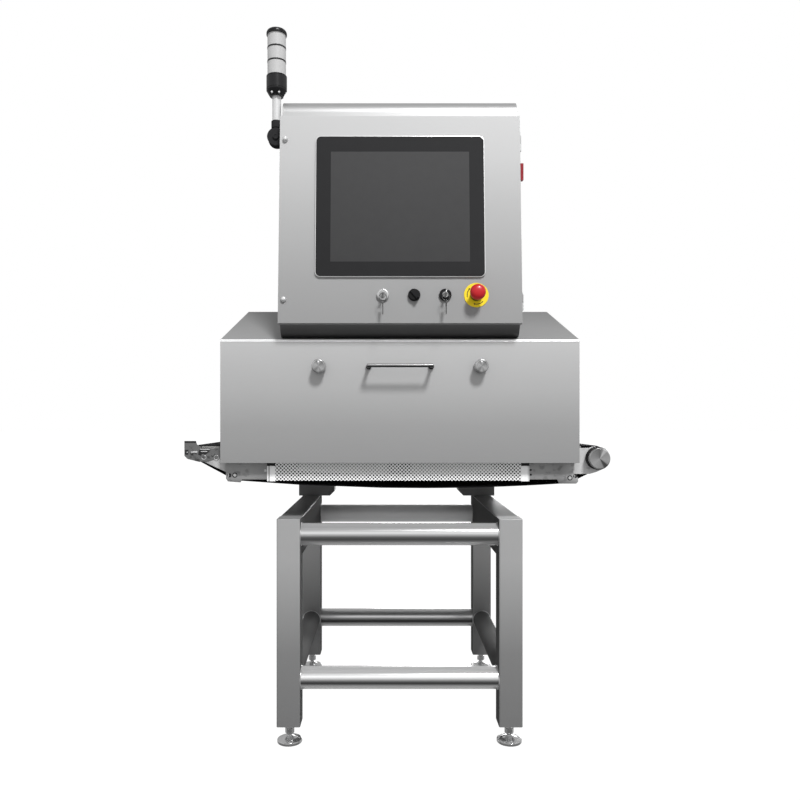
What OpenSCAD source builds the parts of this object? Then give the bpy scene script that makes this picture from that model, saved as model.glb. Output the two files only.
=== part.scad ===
// Food x-ray inspection machine: a belt conveyor through a shielded cabinet, with its operator head
// above and an open leg frame below. Millimetres, Z up, X along the belt, the operator's side at -Y.

/* [Leg frame] */
// Width over the legs
frame_w = 625; // [540:5:640]
// Depth over the legs
frame_depth = 620; // [560:5:660]
// Distance of the front legs behind the cover's face
frame_setback = 40; // [30:1:60]
// Height of the top rails' upper face above the floor
frame_top = 576; // [480:2:800]
// Side of the square leg tube
leg_side = 60; // [50:1:70]
// Wall of the leg and rail tubes
leg_wall = 3; // [2:0.5:4]
// Height of a top rail
rail_h = 100; // [80:2:120]
// Diameter of the round cross tubes
cross_d = 57; // [42:1:58]
// Wall of the round cross tubes
cross_wall = 2.5; // [2:0.5:4]
// Height of the upper front tube's axis
upper_tube_z = 534; // [440:1:540]
// Drop of the upper rear tube below the front one
rear_tube_drop = 20; // [0:1:30]
// Height of the lower tubes' axes
lower_tube_z = 165; // [120:1:260]

/* [Feet] */
// Height of the leg ends above the floor
leg_end_z = 48.4; // [44:0.2:70]
// Diameter of a foot pad
pad_d = 64; // [50:1:70]
// Height of a foot pad's rim
pad_rim_h = 8; // [6:0.5:10]
// Height of a foot pad's cone above the rim
pad_cone_h = 9; // [6:0.5:12]
// Diameter of a foot stud
stud_d = 16; // [12:1:20]
// Screw travel of a foot
foot_travel = 25; // [15:1:30]
// Height of a jam nut
jam_nut_h = 8; // [6:0.5:10]

/* [Cabinet] */
// Width of the cabinet over the cover
cabinet_w = 891; // [860:1:900]
// Depth of the cabinet
cabinet_depth = 730; // [700:5:780]
// Height of the cover's lower edge
cover_z = 721.4; // [716:0.2:726]
// Height of the roof's front edge
roof_front_z = 1027.6; // [1010:0.2:1060]
// Height of the roof's ridge
roof_ridge_z = 1150; // [1120:1:1180]
// Distance of the ridge from the cover's face
ridge_y = 365; // [340:1:400]
// Thickness of the cabinet's sheet
sheet = 2.5; // [2:0.1:3]
// Depth of the front cover's box
cover_depth = 22; // [20:0.5:24]
// Depth of the rear housing
rear_depth = 230; // [200:5:236]
// Height of the rear housing's floor
rear_z = 650; // [640:1:655]

/* [Tunnel] */
// Height of the belt's upper face
belt_z = 763; // [758:0.5:770]
// Width of the belt
belt_w = 400; // [360:5:410]
// Height of the tunnel over the belt
tunnel_h = 160; // [120:2:164]
// Thickness of the lead rubber curtains
curtain_t = 3; // [2:0.5:4]

/* [Cover fittings] */
// Distance of each cover knob from the middle
knob_x = 199.5; // [150:0.5:260]
// Height of the knobs and the handle
knob_z = 960; // [950:1:985]
// Diameter of a cover knob
knob_d = 34; // [28:1:40]
// Length of a cover knob in front of the cover
knob_len = 30; // [22:1:36]
// Width of the handle over its rods
handle_w = 164; // [120:2:220]
// Diameter of the handle's rod
handle_d = 9; // [8:0.5:12]
// Distance of the handle's grip in front of the cover
handle_reach = 50; // [34:1:56]

/* [Head] */
// Width of the head's shell
head_w = 590; // [560:2:620]
// Height of the head's top
head_top_z = 1638; // [1630:1:1660]
// Distance of the head's back behind the cover's face
head_back_y = 350; // [330:1:360]
// Lean of the door, in degrees
lean = 4.41; // [3:0.01:6]
// Width of the door
door_w = 594; // [570:2:620]
// Height of the door along its face
door_h = 520.5; // [515:0.5:525]
// Thickness of the door's box
door_t = 20; // [18:0.5:24]
// Height of the door's lower edge
door_z = 1063; // [1060:0.5:1066]
// Reach of the door's lower edge in front of the cover's face
door_reach = 40; // [36:0.5:44]
// Radius of the shell's front bends
bend_r = 40; // [30:1:44]
// Thickness of the head's sheet
head_sheet = 2.5; // [2:0.1:3]

/* [Operator panel] */
// Width of the monitor's bezel
bezel_w = 414; // [380:1:430]
// Distance of the bezel above the door's lower edge
bezel_low = 117.5; // [112:0.5:124]
// Distance of the bezel below the door's upper edge
bezel_top = 55.5; // [50:0.5:64]
// Width of the bezel beside the glass
bezel_side = 37; // [30:0.5:44]
// Width of the bezel above and below the glass
bezel_edge = 36; // [32:0.5:44]
// Height of the switches above the door's lower edge
switch_up = 68.7; // [60:0.1:76]
// Diameter of a switch's panel ring
switch_d = 30; // [28:0.5:32]
// Diameter of the emergency stop's yellow ring
estop_ring_d = 60; // [50:1:64]
// Diameter of the emergency stop's red head
estop_head_d = 38; // [32:1:40]
// Push of the emergency stop
estop_push = 4; // [3:0.5:6]

/* [Signal tower] */
// Distance of the tower's axis from the middle
tower_x = 311.5; // [310:0.5:322]
// Height of the tower's folding pivot
tower_pivot_z = 1542; // [1520:1:1560]
// Distance of the tower behind the cover's face
tower_y = 40; // [30:1:60]
// Diameter of the tower's base
tower_base_d = 51.7; // [44:0.1:54]
// Diameter of a lens
lens_d = 46.6; // [40:0.1:50]
// Height of a lens module
lens_h = 34.5; // [28:0.5:44]
// Number of lenses
lens_count = 3; // [1:1:5]
// Diameter of the tower's pole
pole_d = 22; // [18:1:24]

/* [Conveyor] */
// Distance of the drive drum's axis to the right of the middle
drum_x = 496; // [488:1:510]
// Radius of the drive drum
drum_r = 28; // [24:0.5:29]
// Distance of the tail roller's axis to the left of the middle
tail_x = 523; // [515:1:530]
// Radius of the tail roller
tail_r = 13; // [10:0.5:14]
// Radius of the snub rollers
snub_r = 12.5; // [10:0.5:13]
// Thickness of the belt
belt_t = 2.5; // [2:0.1:3]
// Sag of the return strand at its middle
belt_sag = 16; // [4:0.5:18]
// Thickness of the side plates
plate_t = 4; // [3:0.5:5]
// Distance of the front side plate behind the cover's face
plate_y = 30; // [29:0.5:34]
// Gap between the belt's edge and a side plate
belt_gap = 18; // [14:0.5:24]
// Hole of the perforated guard
guard_hole = 5; // [4:0.5:6]
// Pitch of the guard's holes
guard_pitch = 13; // [10:1:20]
// Diameter of the drive's end cap
drive_cap_d = 53.5; // [44:0.5:58]
// Reach of the drive's end cap in front of its plate
drive_cap_len = 30; // [20:1:34]

/* [Hidden] */
$fn = 64;
// Overrun of a cut past the face that it opens
over = 1;
// Clearance between pieces on different bodies that lie side by side
gap = 0.3;
// Radial clearance of a running fit
fit = 0.06;
// Corner radius of square tube
tube_corner_r = 4;
// Steps of a rounded corner
corner_steps = 4;

// Legs and rails
leg_x = frame_w / 2 - leg_side / 2;
leg_front_y = frame_setback + leg_side / 2;
leg_rear_y = frame_setback + frame_depth - leg_side / 2;
rail_len = frame_depth - 2 * leg_side;
cross_len = frame_w - 2 * leg_side;
plug_h = 20;

// Feet, from the floor up
neck_h = 6;
neck_d = 12;
pad_top_d = 50;
pad_chamfer = 1;
wrench_h = 13;
wrench_d = 24;
stud_end = 9;
wrench_top = pad_rim_h + pad_cone_h + neck_h + wrench_h;
stud_top = leg_end_z + plug_h + foot_travel + stud_end;
jam_nut_d = 27;

// Brackets between the rails and the cabinet
bracket_out_x = 323.5;
bracket_in_x = 205;
bracket_wall = 6;
bracket_chamfer = 16;
bracket_bolt_d = 10;
bolt_head_d = 18;
bolt_head_h = 6.4;
bolt_inset = 15;

// Whole machine, moved so that the middle of its box's underside is the origin
left_reach = 542;
right_reach = drum_x + drum_r + gap + belt_t;
door_slope = sin(lean);
estop_len = 46;
front_reach = door_reach - switch_up * door_slope + estop_len * cos(lean) + estop_head_d / 2 * door_slope;
panel_t = 2;
vent_hood = 14;
back_reach = cabinet_depth + panel_t + vent_hood;
machine_shift = [(left_reach - right_reach) / 2, (front_reach - back_reach) / 2, 0];

function round_rect(w, d, r, n = corner_steps) = [
    for (c = [0:3], i = [0:n])
        let (a = 90 * c + 90 * i / n, sx = (c == 0 || c == 3) ? 1 : -1, sy = c < 2 ? 1 : -1)
        [sx * (w / 2 - r) + r * cos(a), sy * (d / 2 - r) + r * sin(a)]
];

module in_place() {
    translate(machine_shift) children();
}

module both_sides() {
    children();
    mirror([1, 0, 0]) children();
}

// A prism whose outline is drawn in Y and Z, running along X from x0 to x1
module along_x(x0, x1) {
    translate([x0, 0, 0]) rotate([90, 0, 90]) linear_extrude(x1 - x0) children();
}

// A prism whose outline is drawn in X and Z, running along Y from y0 to y1
module along_y(y0, y1) {
    translate([0, y1, 0]) rotate([90, 0, 0]) linear_extrude(y1 - y0) children();
}

module rod_y(d, y0, y1) {
    translate([0, y1, 0]) rotate([90, 0, 0]) cylinder(d = d, h = y1 - y0);
}

module rod_x(d, x0, x1) {
    translate([x0, 0, 0]) rotate([0, 90, 0]) cylinder(d = d, h = x1 - x0);
}

// A box from its low corner to its high corner
module block(low, high) {
    translate(low) cube(high - low);
}

// Legs: square tube, closed at the top by a welded plate and open below for the plug
module leg(x, y) {
    translate([x, y, leg_end_z]) difference() {
        linear_extrude(frame_top - leg_end_z) polygon(round_rect(leg_side, leg_side, tube_corner_r));
        translate([0, 0, -over]) linear_extrude(frame_top - leg_end_z - leg_wall + over)
            square(leg_side - 2 * leg_wall, center = true);
    }
}
module leg_front_left() { color("#8c8c8c") in_place() leg(-leg_x, leg_front_y); }
module leg_front_right() { color("#8c8c8c") in_place() leg(leg_x, leg_front_y); }

// Places on a rear leg's top plate where the mounting bracket is bolted down
module bracket_bolt_places(side) {
    for (dy = [bolt_inset - leg_side / 2, leg_side / 2 - bolt_inset])
        translate([side * leg_x, leg_rear_y + dy, frame_top]) children();
}
module rear_leg(side) {
    color("#8c8c8c") in_place() difference() {
        leg(side * leg_x, leg_rear_y);
        bracket_bolt_places(side) translate([0, 0, -leg_wall - over])
            cylinder(d = bracket_bolt_d, h = leg_wall + 2 * over);
    }
}
module leg_rear_left() { rear_leg(-1); }
module leg_rear_right() { rear_leg(1); }

// Top rails: upright rectangular tube between the legs
module top_rail(side) {
    color("#6a6a6a") in_place()
        translate([side * leg_x, frame_setback + leg_side + rail_len, frame_top - rail_h / 2])
            rotate([90, 0, 0]) linear_extrude(rail_len) difference() {
                polygon(round_rect(leg_side, rail_h, tube_corner_r));
                square([leg_side - 2 * leg_wall, rail_h - 2 * leg_wall], center = true);
            }
}
module top_rail_left() { top_rail(-1); }
module top_rail_right() { top_rail(1); }

module round_tube(h) {
    difference() {
        cylinder(d = cross_d, h = h);
        translate([0, 0, -over]) cylinder(d = cross_d - 2 * cross_wall, h = h + 2 * over);
    }
}
module tube_across(y, z) {
    translate([-cross_len / 2, y, z]) rotate([0, 90, 0]) round_tube(cross_len);
}
module upper_cross_tubes() {
    color("#b8b8b8") in_place() {
        tube_across(leg_front_y, upper_tube_z);
        tube_across(leg_rear_y, upper_tube_z - rear_tube_drop);
    }
}
module lower_cross_tubes() {
    color("#b8b8b8") in_place() for (y = [leg_front_y, leg_rear_y]) tube_across(y, lower_tube_z);
}
module lower_side_tubes() {
    color("#7a7a7a") in_place() both_sides()
        translate([leg_x, frame_setback + leg_side + rail_len, lower_tube_z])
            rotate([90, 0, 0]) round_tube(rail_len);
}

module at_feet() {
    for (x = [-leg_x, leg_x], y = [leg_front_y, leg_rear_y]) translate([x, y, 0]) children();
}

// Plugs welded into the leg ends, each drilled for a foot's stud
module leg_end_plugs() {
    color("#6a6a6a") in_place() at_feet() translate([0, 0, leg_end_z]) difference() {
        linear_extrude(plug_h) square(leg_side - 2 * leg_wall, center = true);
        translate([0, 0, -over]) cylinder(d = stud_d + 2 * fit, h = plug_h + 2 * over);
    }
}
module jam_nuts() {
    color("#c8c8c8") in_place() at_feet() translate([0, 0, leg_end_z - jam_nut_h]) difference() {
        cylinder(d = jam_nut_d, h = jam_nut_h, $fn = 6);
        translate([0, 0, -over]) cylinder(d = stud_d + 2 * fit, h = jam_nut_h + 2 * over);
    }
}

// A levelling foot: rimmed pad, cone, neck, hexagon for the wrench and a stud into the leg
module foot(x, y) {
    color("#c4c4c4") in_place() translate([x, y, 0]) {
        rotate_extrude() polygon([
            [0, 0],
            [pad_d / 2 - pad_chamfer, 0],
            [pad_d / 2, pad_chamfer],
            [pad_d / 2, pad_rim_h - pad_chamfer],
            [pad_d / 2 - pad_chamfer, pad_rim_h],
            [pad_top_d / 2, pad_rim_h],
            [neck_d / 2, pad_rim_h + pad_cone_h],
            [neck_d / 2, pad_rim_h + pad_cone_h + neck_h],
            [0, pad_rim_h + pad_cone_h + neck_h]
        ]);
        translate([0, 0, wrench_top - wrench_h]) cylinder(d = wrench_d, h = wrench_h, $fn = 6);
        translate([0, 0, wrench_top]) cylinder(d = stud_d, h = stud_top - wrench_top);
    }
}
module foot_front_left() { foot(-leg_x, leg_front_y); }
module foot_front_right() { foot(leg_x, leg_front_y); }
module foot_rear_left() { foot(-leg_x, leg_rear_y); }
module foot_rear_right() { foot(leg_x, leg_rear_y); }

// Brackets that carry the cabinet on the rails: boxes open to the back, cut off at the inner corner
module bracket_outline(inset) {
    polygon([
        [bracket_in_x + bracket_chamfer + inset / 2, frame_top + inset],
        [bracket_out_x - inset, frame_top + inset],
        [bracket_out_x - inset, rear_z - inset],
        [bracket_in_x + inset, rear_z - inset],
        [bracket_in_x + inset, frame_top + bracket_chamfer + inset / 2]
    ]);
}
module mounting_brackets() {
    color("#4a4a4a") in_place() both_sides() difference() {
        along_y(leg_rear_y - leg_side / 2, leg_rear_y + leg_side / 2) bracket_outline(0);
        along_y(leg_rear_y - leg_side / 2 + bracket_wall, leg_rear_y + leg_side / 2 + over)
            bracket_outline(bracket_wall);
        bracket_bolt_places(1) translate([0, 0, -over])
            cylinder(d = bracket_bolt_d, h = bracket_wall + 2 * over);
    }
}
module bracket_bolts() {
    color("#b0b0b0") in_place() both_sides() bracket_bolt_places(1) {
        translate([0, 0, bracket_wall]) cylinder(d = bolt_head_d, h = bolt_head_h, $fn = 6);
        translate([0, 0, -2 * leg_wall]) cylinder(d = bracket_bolt_d, h = bracket_wall + 2 * leg_wall);
    }
}

// Cabinet
tunnel_top = belt_z + tunnel_h;
ceiling_rise = 12;
ceiling_z = tunnel_top + ceiling_rise;
rear_y = cabinet_depth - rear_depth;
cover_gap = 0.5;
cover_top = roof_front_z - sheet - cover_gap;
side_gap = 0.7;
wall_out_x = cabinet_w / 2 - sheet - side_gap;
wall_in_x = wall_out_x - sheet;
wall_front_y = cover_depth + cover_gap;
hood_front_y = wall_front_y + 2 * cover_gap;
door_margin = 2;
tunnel_side = 5;
belt_y0 = plate_y + plate_t + belt_gap;
belt_y1 = belt_y0 + belt_w;
rear_plate_y = belt_y1 + belt_gap;
roof_slope = (roof_ridge_z - roof_front_z) / ridge_y;

// Hinge of the front cover
pivot_y = 8;
pivot_up = 10;
pivot_z = cover_z + pivot_up;
pivot_d = 6;
lug_r = 5;
lug_angle = 62;
lug_len = 32;
pin_end = 3;
flange_low = 10;
flange_side = 14;
flange_cut_h = 18;

// Lining of the front cover
liner_t = 3;
skin_t = 1.5;
skin_inset = 12;
liner_inset = 24;
liner_low = 28;
liner_top_gap = 84;

// Knobs and their cams
shaft_d = 10;
knob_back = 2;
knob_chamfer = 2;
knob_groove = 3;
cam_len = 24;
cam_w = 8;
cam_t = 4;
cam_gap = 2.5;
slot_margin = 2;

// Rear panel, its screws, its hood over the air outlet and the cable inlet
panel_inset = 14;
panel_screw_d = 10;
panel_screw_h = 3;
vent_w = 220;
vent_h = 90;
vent_up = 330;
inlet_d = 26;
inlet_bore = 14;
inlet_up = 70;
inlet_x = 300;

// Curtains and their rods
rod_d = 10;
rod_inset = 17;
sleeve_d = 18;
rod_up = 1;
curtain_side = 4;
curtain_gap = 3;
curtain_hem = 16;
strip_count = 8;
strip_slit = 1;
hanger_t = 3;
hanger_w = 18;

// X-ray source above the tunnel and detector below the belt
slit_w = 4;
slit_margin = 20;
collimator_w = 60;
collimator_h = 24;
tank_d = 96;
tank_len = 300;
tank_cap_d = 106;
tank_cap_t = 12;
tank_foot_w = 120;
tank_foot_h = 10;
detector_w = 60;
detector_z = 690;
detector_h = 62;
window_w = 14;
window_t = 2;

// Height of the roof's upper face at a distance y behind the cover's face
function roof_at(y) = min(roof_ridge_z, roof_front_z + roof_slope * y);

module roof() {
    color("#7c7c7c") in_place() along_x(-cabinet_w / 2, cabinet_w / 2) polygon([
        [0, roof_front_z - sheet],
        [ridge_y, roof_ridge_z - sheet],
        [cabinet_depth, roof_ridge_z - sheet],
        [cabinet_depth, roof_ridge_z],
        [ridge_y, roof_ridge_z],
        [0, roof_front_z]
    ]);
}

// End wall: plate with the tunnel's mouth, open below for the conveyor, and a lug for the cover's pin
module end_wall(side) {
    mouth_y0 = belt_y0 - tunnel_side;
    mouth_y1 = belt_y1 + tunnel_side;
    lug = [cos(lug_angle), sin(lug_angle)];
    lug_side = lug_r * 0.9;
    x0 = side < 0 ? -wall_out_x : wall_in_x;
    color("#9a9a9a") in_place() difference() {
        union() {
            along_x(x0, x0 + sheet) polygon([
                [wall_front_y, cover_z],
                [plate_y - door_margin, cover_z],
                [plate_y - door_margin, belt_z + door_margin],
                [mouth_y0, belt_z + door_margin],
                [mouth_y0, tunnel_top],
                [mouth_y1, tunnel_top],
                [mouth_y1, belt_z + door_margin],
                [rear_plate_y + plate_t + door_margin, belt_z + door_margin],
                [rear_plate_y + plate_t + door_margin, cover_z],
                [rear_y, cover_z],
                [rear_y, roof_ridge_z - sheet],
                [ridge_y, roof_ridge_z - sheet],
                [wall_front_y, roof_at(wall_front_y) - sheet]
            ]);
            along_x(x0, x0 + sheet) translate([pivot_y, pivot_z]) polygon([
                lug_side * [-lug[1], lug[0]],
                lug_side * [lug[1], -lug[0]],
                lug_len * lug + lug_side * [lug[1], -lug[0]],
                lug_len * lug + lug_side * [-lug[1], lug[0]]
            ]);
            translate([0, pivot_y, pivot_z]) rod_x(2 * lug_r, x0, x0 + sheet);
        }
        translate([0, pivot_y, pivot_z]) rod_x(pivot_d, x0 - over, x0 + sheet + over);
    }
}
module end_wall_left() { end_wall(-1); }
module end_wall_right() { end_wall(1); }

// Pins of the cover's hinge, pressed into the end walls
module cover_hinge_pins() {
    color("#d0d0d0") in_place() both_sides() translate([0, pivot_y, pivot_z])
        rod_x(pivot_d, wall_in_x - pin_end, cabinet_w / 2);
}

module at_knobs() {
    for (x = [-knob_x, knob_x]) translate([x, 0, knob_z]) children();
}

// Hood over the tunnel: its ceiling with the beam's slit, and its front with a slot for each cam
module tunnel_hood() {
    color("#a8a8a8") in_place() difference() {
        union() {
            block([-wall_in_x, hood_front_y, ceiling_z], [wall_in_x, rear_y, ceiling_z + sheet]);
            block([-wall_in_x, hood_front_y, ceiling_z],
                [wall_in_x, hood_front_y + sheet, roof_at(hood_front_y) - sheet]);
        }
        block([-slit_w / 2, belt_y0 + slit_margin, ceiling_z - over],
            [slit_w / 2, belt_y1 - slit_margin, ceiling_z + sheet + over]);
        at_knobs() block([-cam_w / 2 - slot_margin, hood_front_y - over, -cam_len / 2 - slot_margin],
            [cam_w / 2 + slot_margin, hood_front_y + sheet + over, cam_len / 2 + slot_margin]);
    }
}

// Rear housing: a deep box behind the tunnel that carries the hood, the beams and the head
module rear_housing() {
    color("#8a8a8a") in_place() difference() {
        block([-cabinet_w / 2, rear_y, rear_z], [cabinet_w / 2, cabinet_depth, roof_ridge_z - sheet]);
        block([-cabinet_w / 2 + sheet, rear_y + sheet, rear_z + sheet],
            [cabinet_w / 2 - sheet, cabinet_depth - sheet, roof_ridge_z - 2 * sheet]);
        block([-cabinet_w / 2 + 2 * panel_inset, cabinet_depth - 2 * sheet, rear_z + 2 * panel_inset],
            [cabinet_w / 2 - 2 * panel_inset, cabinet_depth + over, roof_ridge_z - 2 * panel_inset]);
    }
}

// Rear panel with a hooded air outlet
module rear_panel() {
    color("#8a8a8a") in_place() {
        difference() {
            block([-cabinet_w / 2 + panel_inset, cabinet_depth, rear_z + panel_inset],
                [cabinet_w / 2 - panel_inset, cabinet_depth + panel_t, roof_ridge_z - panel_inset]);
            block([-vent_w / 2 + panel_inset, cabinet_depth - over, rear_z + vent_up],
                [vent_w / 2 - panel_inset, cabinet_depth + panel_t + over, rear_z + vent_up + vent_h / 2]);
            translate([-inlet_x, 0, rear_z + inlet_up])
                rod_y(inlet_bore, cabinet_depth - over, cabinet_depth + panel_t + over);
        }
        difference() {
            along_x(-vent_w / 2, vent_w / 2) vent_outline(0);
            along_x(-vent_w / 2 + panel_t, vent_w / 2 - panel_t) vent_outline(panel_t);
        }
    }
}
module vent_outline(t) {
    base = rear_z + vent_up;
    polygon([
        [cabinet_depth + panel_t - (t > 0 ? over : 0), base - (t > 0 ? over : 0)],
        [cabinet_depth + panel_t - (t > 0 ? over : 0), base + vent_h - 2 * t],
        [cabinet_depth + panel_t + vent_hood - t, base + vent_h / 2 - t],
        [cabinet_depth + panel_t + vent_hood - t, base - (t > 0 ? over : 0)]
    ]);
}
module rear_panel_screws() {
    edge_x = cabinet_w / 2 - 1.5 * panel_inset;
    low_z = rear_z + 1.5 * panel_inset;
    high_z = roof_ridge_z - 1.5 * panel_inset;
    color("#c8c8c8") in_place() for (x = [-edge_x, 0, edge_x], z = [low_z, high_z])
        translate([x, cabinet_depth + panel_t, z]) rod_y(panel_screw_d, 0, panel_screw_h);
}

// Inlet for the supply cable, at the rear
module cable_gland() {
    color("#2a2a2a") in_place() translate([-inlet_x, 0, rear_z + inlet_up]) difference() {
        union() {
            rod_y(inlet_d, cabinet_depth + panel_t, cabinet_depth + panel_t + vent_hood / 2);
            rod_y(inlet_d * 0.8, cabinet_depth + panel_t, cabinet_depth + panel_t + vent_hood);
        }
        rod_y(inlet_bore, cabinet_depth, cabinet_depth + panel_t + vent_hood + over);
    }
}

curtain_x = wall_in_x - rod_inset;
rod_z = tunnel_top + rod_up;
hanger_y0 = belt_y0 - 2 * hanger_t;
hanger_y1 = belt_y1 + 2 * hanger_t;

// Rods that the curtains hang from, with the tabs that hold them under the ceiling
module curtain_rods() {
    color("#b0b0b0") in_place() both_sides() translate([curtain_x, 0, 0]) {
        translate([0, 0, rod_z]) rod_y(rod_d, hanger_y0 - hanger_t, hanger_y1 + hanger_t);
        for (y = [hanger_y0 - hanger_t, hanger_y1]) difference() {
            block([-hanger_w / 2, y, rod_z - hanger_w / 2], [hanger_w / 2, y + hanger_t, ceiling_z]);
            translate([0, 0, rod_z]) rod_y(rod_d, y - over, y + hanger_t + over);
        }
    }
}

// A lead rubber curtain: a sleeve round the rod and a sheet slit into strips
module curtain(side) {
    y0 = belt_y0 + curtain_side;
    y1 = belt_y1 - curtain_side;
    strip = (y1 - y0) / strip_count;
    color("#3c3c3c") in_place() translate([side * curtain_x, 0, 0]) difference() {
        union() {
            translate([0, 0, rod_z]) rod_y(sleeve_d, y0, y1);
            block([-curtain_t / 2, y0, belt_z + curtain_gap], [curtain_t / 2, y1, rod_z]);
        }
        translate([0, 0, rod_z]) rod_y(rod_d + 2 * fit, y0 - over, y1 + over);
        for (i = [1:strip_count - 1])
            block([-curtain_t / 2 - over, y0 + i * strip - strip_slit / 2, belt_z + curtain_gap - over],
                [curtain_t / 2 + over, y0 + i * strip + strip_slit / 2, rod_z - curtain_hem]);
    }
}
module curtain_left() { curtain(-1); }
module curtain_right() { curtain(1); }

beam_mid_y = (belt_y0 + belt_y1) / 2;

// Block on the tunnel's ceiling that narrows the beam to a fan
module collimator() {
    color("#6e6e72") in_place() difference() {
        block([-collimator_w / 2, belt_y0 + slit_margin / 2, ceiling_z + sheet],
            [collimator_w / 2, belt_y1 - slit_margin / 2, ceiling_z + sheet + collimator_h]);
        block([-slit_w / 2, belt_y0 + slit_margin, ceiling_z],
            [slit_w / 2, belt_y1 - slit_margin, ceiling_z + sheet + collimator_h + over]);
    }
}

// Tank of the x-ray source, lying across the tunnel on a foot
module source_tank() {
    foot_z = ceiling_z + sheet + collimator_h;
    color("#b9b4a4") in_place() translate([0, beam_mid_y, foot_z + tank_foot_h + tank_d / 2]) {
        rod_x(tank_d, -tank_len / 2, tank_len / 2);
        rod_x(tank_cap_d, -tank_len / 2 - tank_cap_t, -tank_len / 2);
        rod_x(tank_cap_d, tank_len / 2, tank_len / 2 + tank_cap_t);
        block([-collimator_w / 2, -tank_foot_w / 2, -tank_d / 2 - tank_foot_h],
            [collimator_w / 2, tank_foot_w / 2, -tank_d / 3]);
    }
}

// Box of the line detector between the belt's strands, carried by the rear housing
module detector_box() {
    color("#9c9c9c") in_place() difference() {
        block([-detector_w / 2, belt_y0, detector_z], [detector_w / 2, rear_y, detector_z + detector_h]);
        block([-window_w / 2, belt_y0 + slit_margin, detector_z + detector_h - window_t],
            [window_w / 2, belt_y1 - slit_margin, detector_z + detector_h + over]);
    }
}
module detector_window() {
    color("#26282c") in_place()
        block([-window_w / 2, belt_y0 + slit_margin, detector_z + detector_h - window_t],
            [window_w / 2, belt_y1 - slit_margin, detector_z + detector_h]);
}

// Front cover: a folded tray hinged at its lower edge
module front_cover() {
    w = cabinet_w / 2;
    color("#b4b4b4") in_place() difference() {
        block([-w, 0, cover_z], [w, cover_depth, cover_top]);
        block([-w + sheet, sheet, cover_z + sheet], [w - sheet, cover_depth + over, cover_top - sheet]);
        block([-w - over, flange_side, cover_z - over],
            [w + over, cover_depth + over, cover_z + flange_cut_h]);
        block([-w + sheet, flange_low, cover_z - over],
            [w - sheet, cover_depth + over, cover_z + sheet + over]);
        translate([0, pivot_y, pivot_z]) {
            rod_x(pivot_d + 2 * fit, -w - over, -w + sheet + over);
            rod_x(pivot_d + 2 * fit, w - sheet - over, w + over);
        }
        at_knobs() rod_y(shaft_d + 2 * fit, -over, sheet + over);
    }
}

// Lead sheet inside the cover, level with the tunnel
module cover_liner() {
    color("#5a5d61") in_place() block(
        [-cabinet_w / 2 + liner_inset, cover_depth - skin_t - liner_t, cover_z + liner_low],
        [cabinet_w / 2 - liner_inset, cover_depth - skin_t, cover_top - liner_top_gap]);
}

// Inner skin of the cover, spot welded to the cover's upper and side flanges
module cover_skin() {
    color("#a0a0a0") in_place() difference() {
        union() {
            block([-cabinet_w / 2 + skin_inset, cover_depth - skin_t, cover_z + liner_low - skin_inset / 2],
                [cabinet_w / 2 - skin_inset, cover_depth, cover_top - sheet]);
            for (x = [-cabinet_w / 2 + skin_inset, cabinet_w / 2 - skin_inset - skin_t])
                block([x, sheet, cover_z + liner_low], [x + skin_t, cover_depth - skin_t, cover_top - sheet]);
        }
        at_knobs() rod_y(shaft_d + 2 * fit, 0, cover_depth + over);
    }
}

// Cover knob: turned grip with a groove, its shaft, and the cam that locks behind the hood's front
module cover_knob(side) {
    cam_y = hood_front_y + sheet + cam_gap;
    color("#c8c8c8") in_place() translate([side * knob_x, 0, knob_z]) {
        rotate([90, 0, 0]) rotate_extrude() polygon([
            [0, 0],
            [knob_d / 2 - knob_groove, 0],
            [knob_d / 2 - knob_groove, knob_back],
            [knob_d / 2, knob_back + knob_chamfer],
            [knob_d / 2, knob_len - knob_chamfer],
            [knob_d / 2 - knob_chamfer, knob_len],
            [0, knob_len]
        ]);
        rod_y(shaft_d, 0, cam_y + cam_t);
        block([-cam_w / 2, cam_y, -cam_len / 2], [cam_w / 2, cam_y + cam_t, cam_len / 2]);
    }
}
module cover_knob_left() { cover_knob(-1); }
module cover_knob_right() { cover_knob(1); }

// Bar handle of the cover: a rod bent twice, with a ferrule at each foot
handle_foot_d = 14;
handle_foot_h = 6;
module cover_handle() {
    post_x = handle_w / 2 - handle_d / 2;
    color("#c0c0c0") in_place() translate([0, 0, knob_z]) {
        translate([0, -handle_reach + handle_d / 2, 0]) rod_x(handle_d, -post_x, post_x);
        for (x = [-post_x, post_x]) translate([x, 0, 0]) {
            translate([0, -handle_reach + handle_d / 2, 0]) sphere(d = handle_d);
            rod_y(handle_d, -handle_reach + handle_d / 2, 0);
            rod_y(handle_foot_d, -handle_foot_h, 0);
        }
    }
}

// Head
seal_t = 3;
gasket_t = 2;
gasket_w = 20;
shell_y = door_t + seal_t;
lip_w = 7;
mouth_margin = 15;
bend_steps = 8;
door_hole_margin = 20;

// A point at depth y and height z of the leaning door, as [y, z] of the machine
function leaned(y, z) = [
    -door_reach + y * cos(lean) + z * sin(lean),
    door_z - y * sin(lean) + z * cos(lean)
];
// The point at depth y behind the door's face whose height above the floor is z
function leaned_at(y, z) = leaned(y, (z - door_z + y * sin(lean)) / cos(lean));

low_bend_z = 1071;
low_bend = leaned_at(shell_y + bend_r, low_bend_z);
top_bend = leaned_at(shell_y + bend_r, head_top_z - bend_r);
roof_norm = sqrt(1 + roof_slope * roof_slope);
bend_to_roof = (low_bend[1] - roof_front_z - roof_slope * low_bend[0]) / roof_norm - gasket_t;
roof_facing = atan2(-1, roof_slope);

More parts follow.
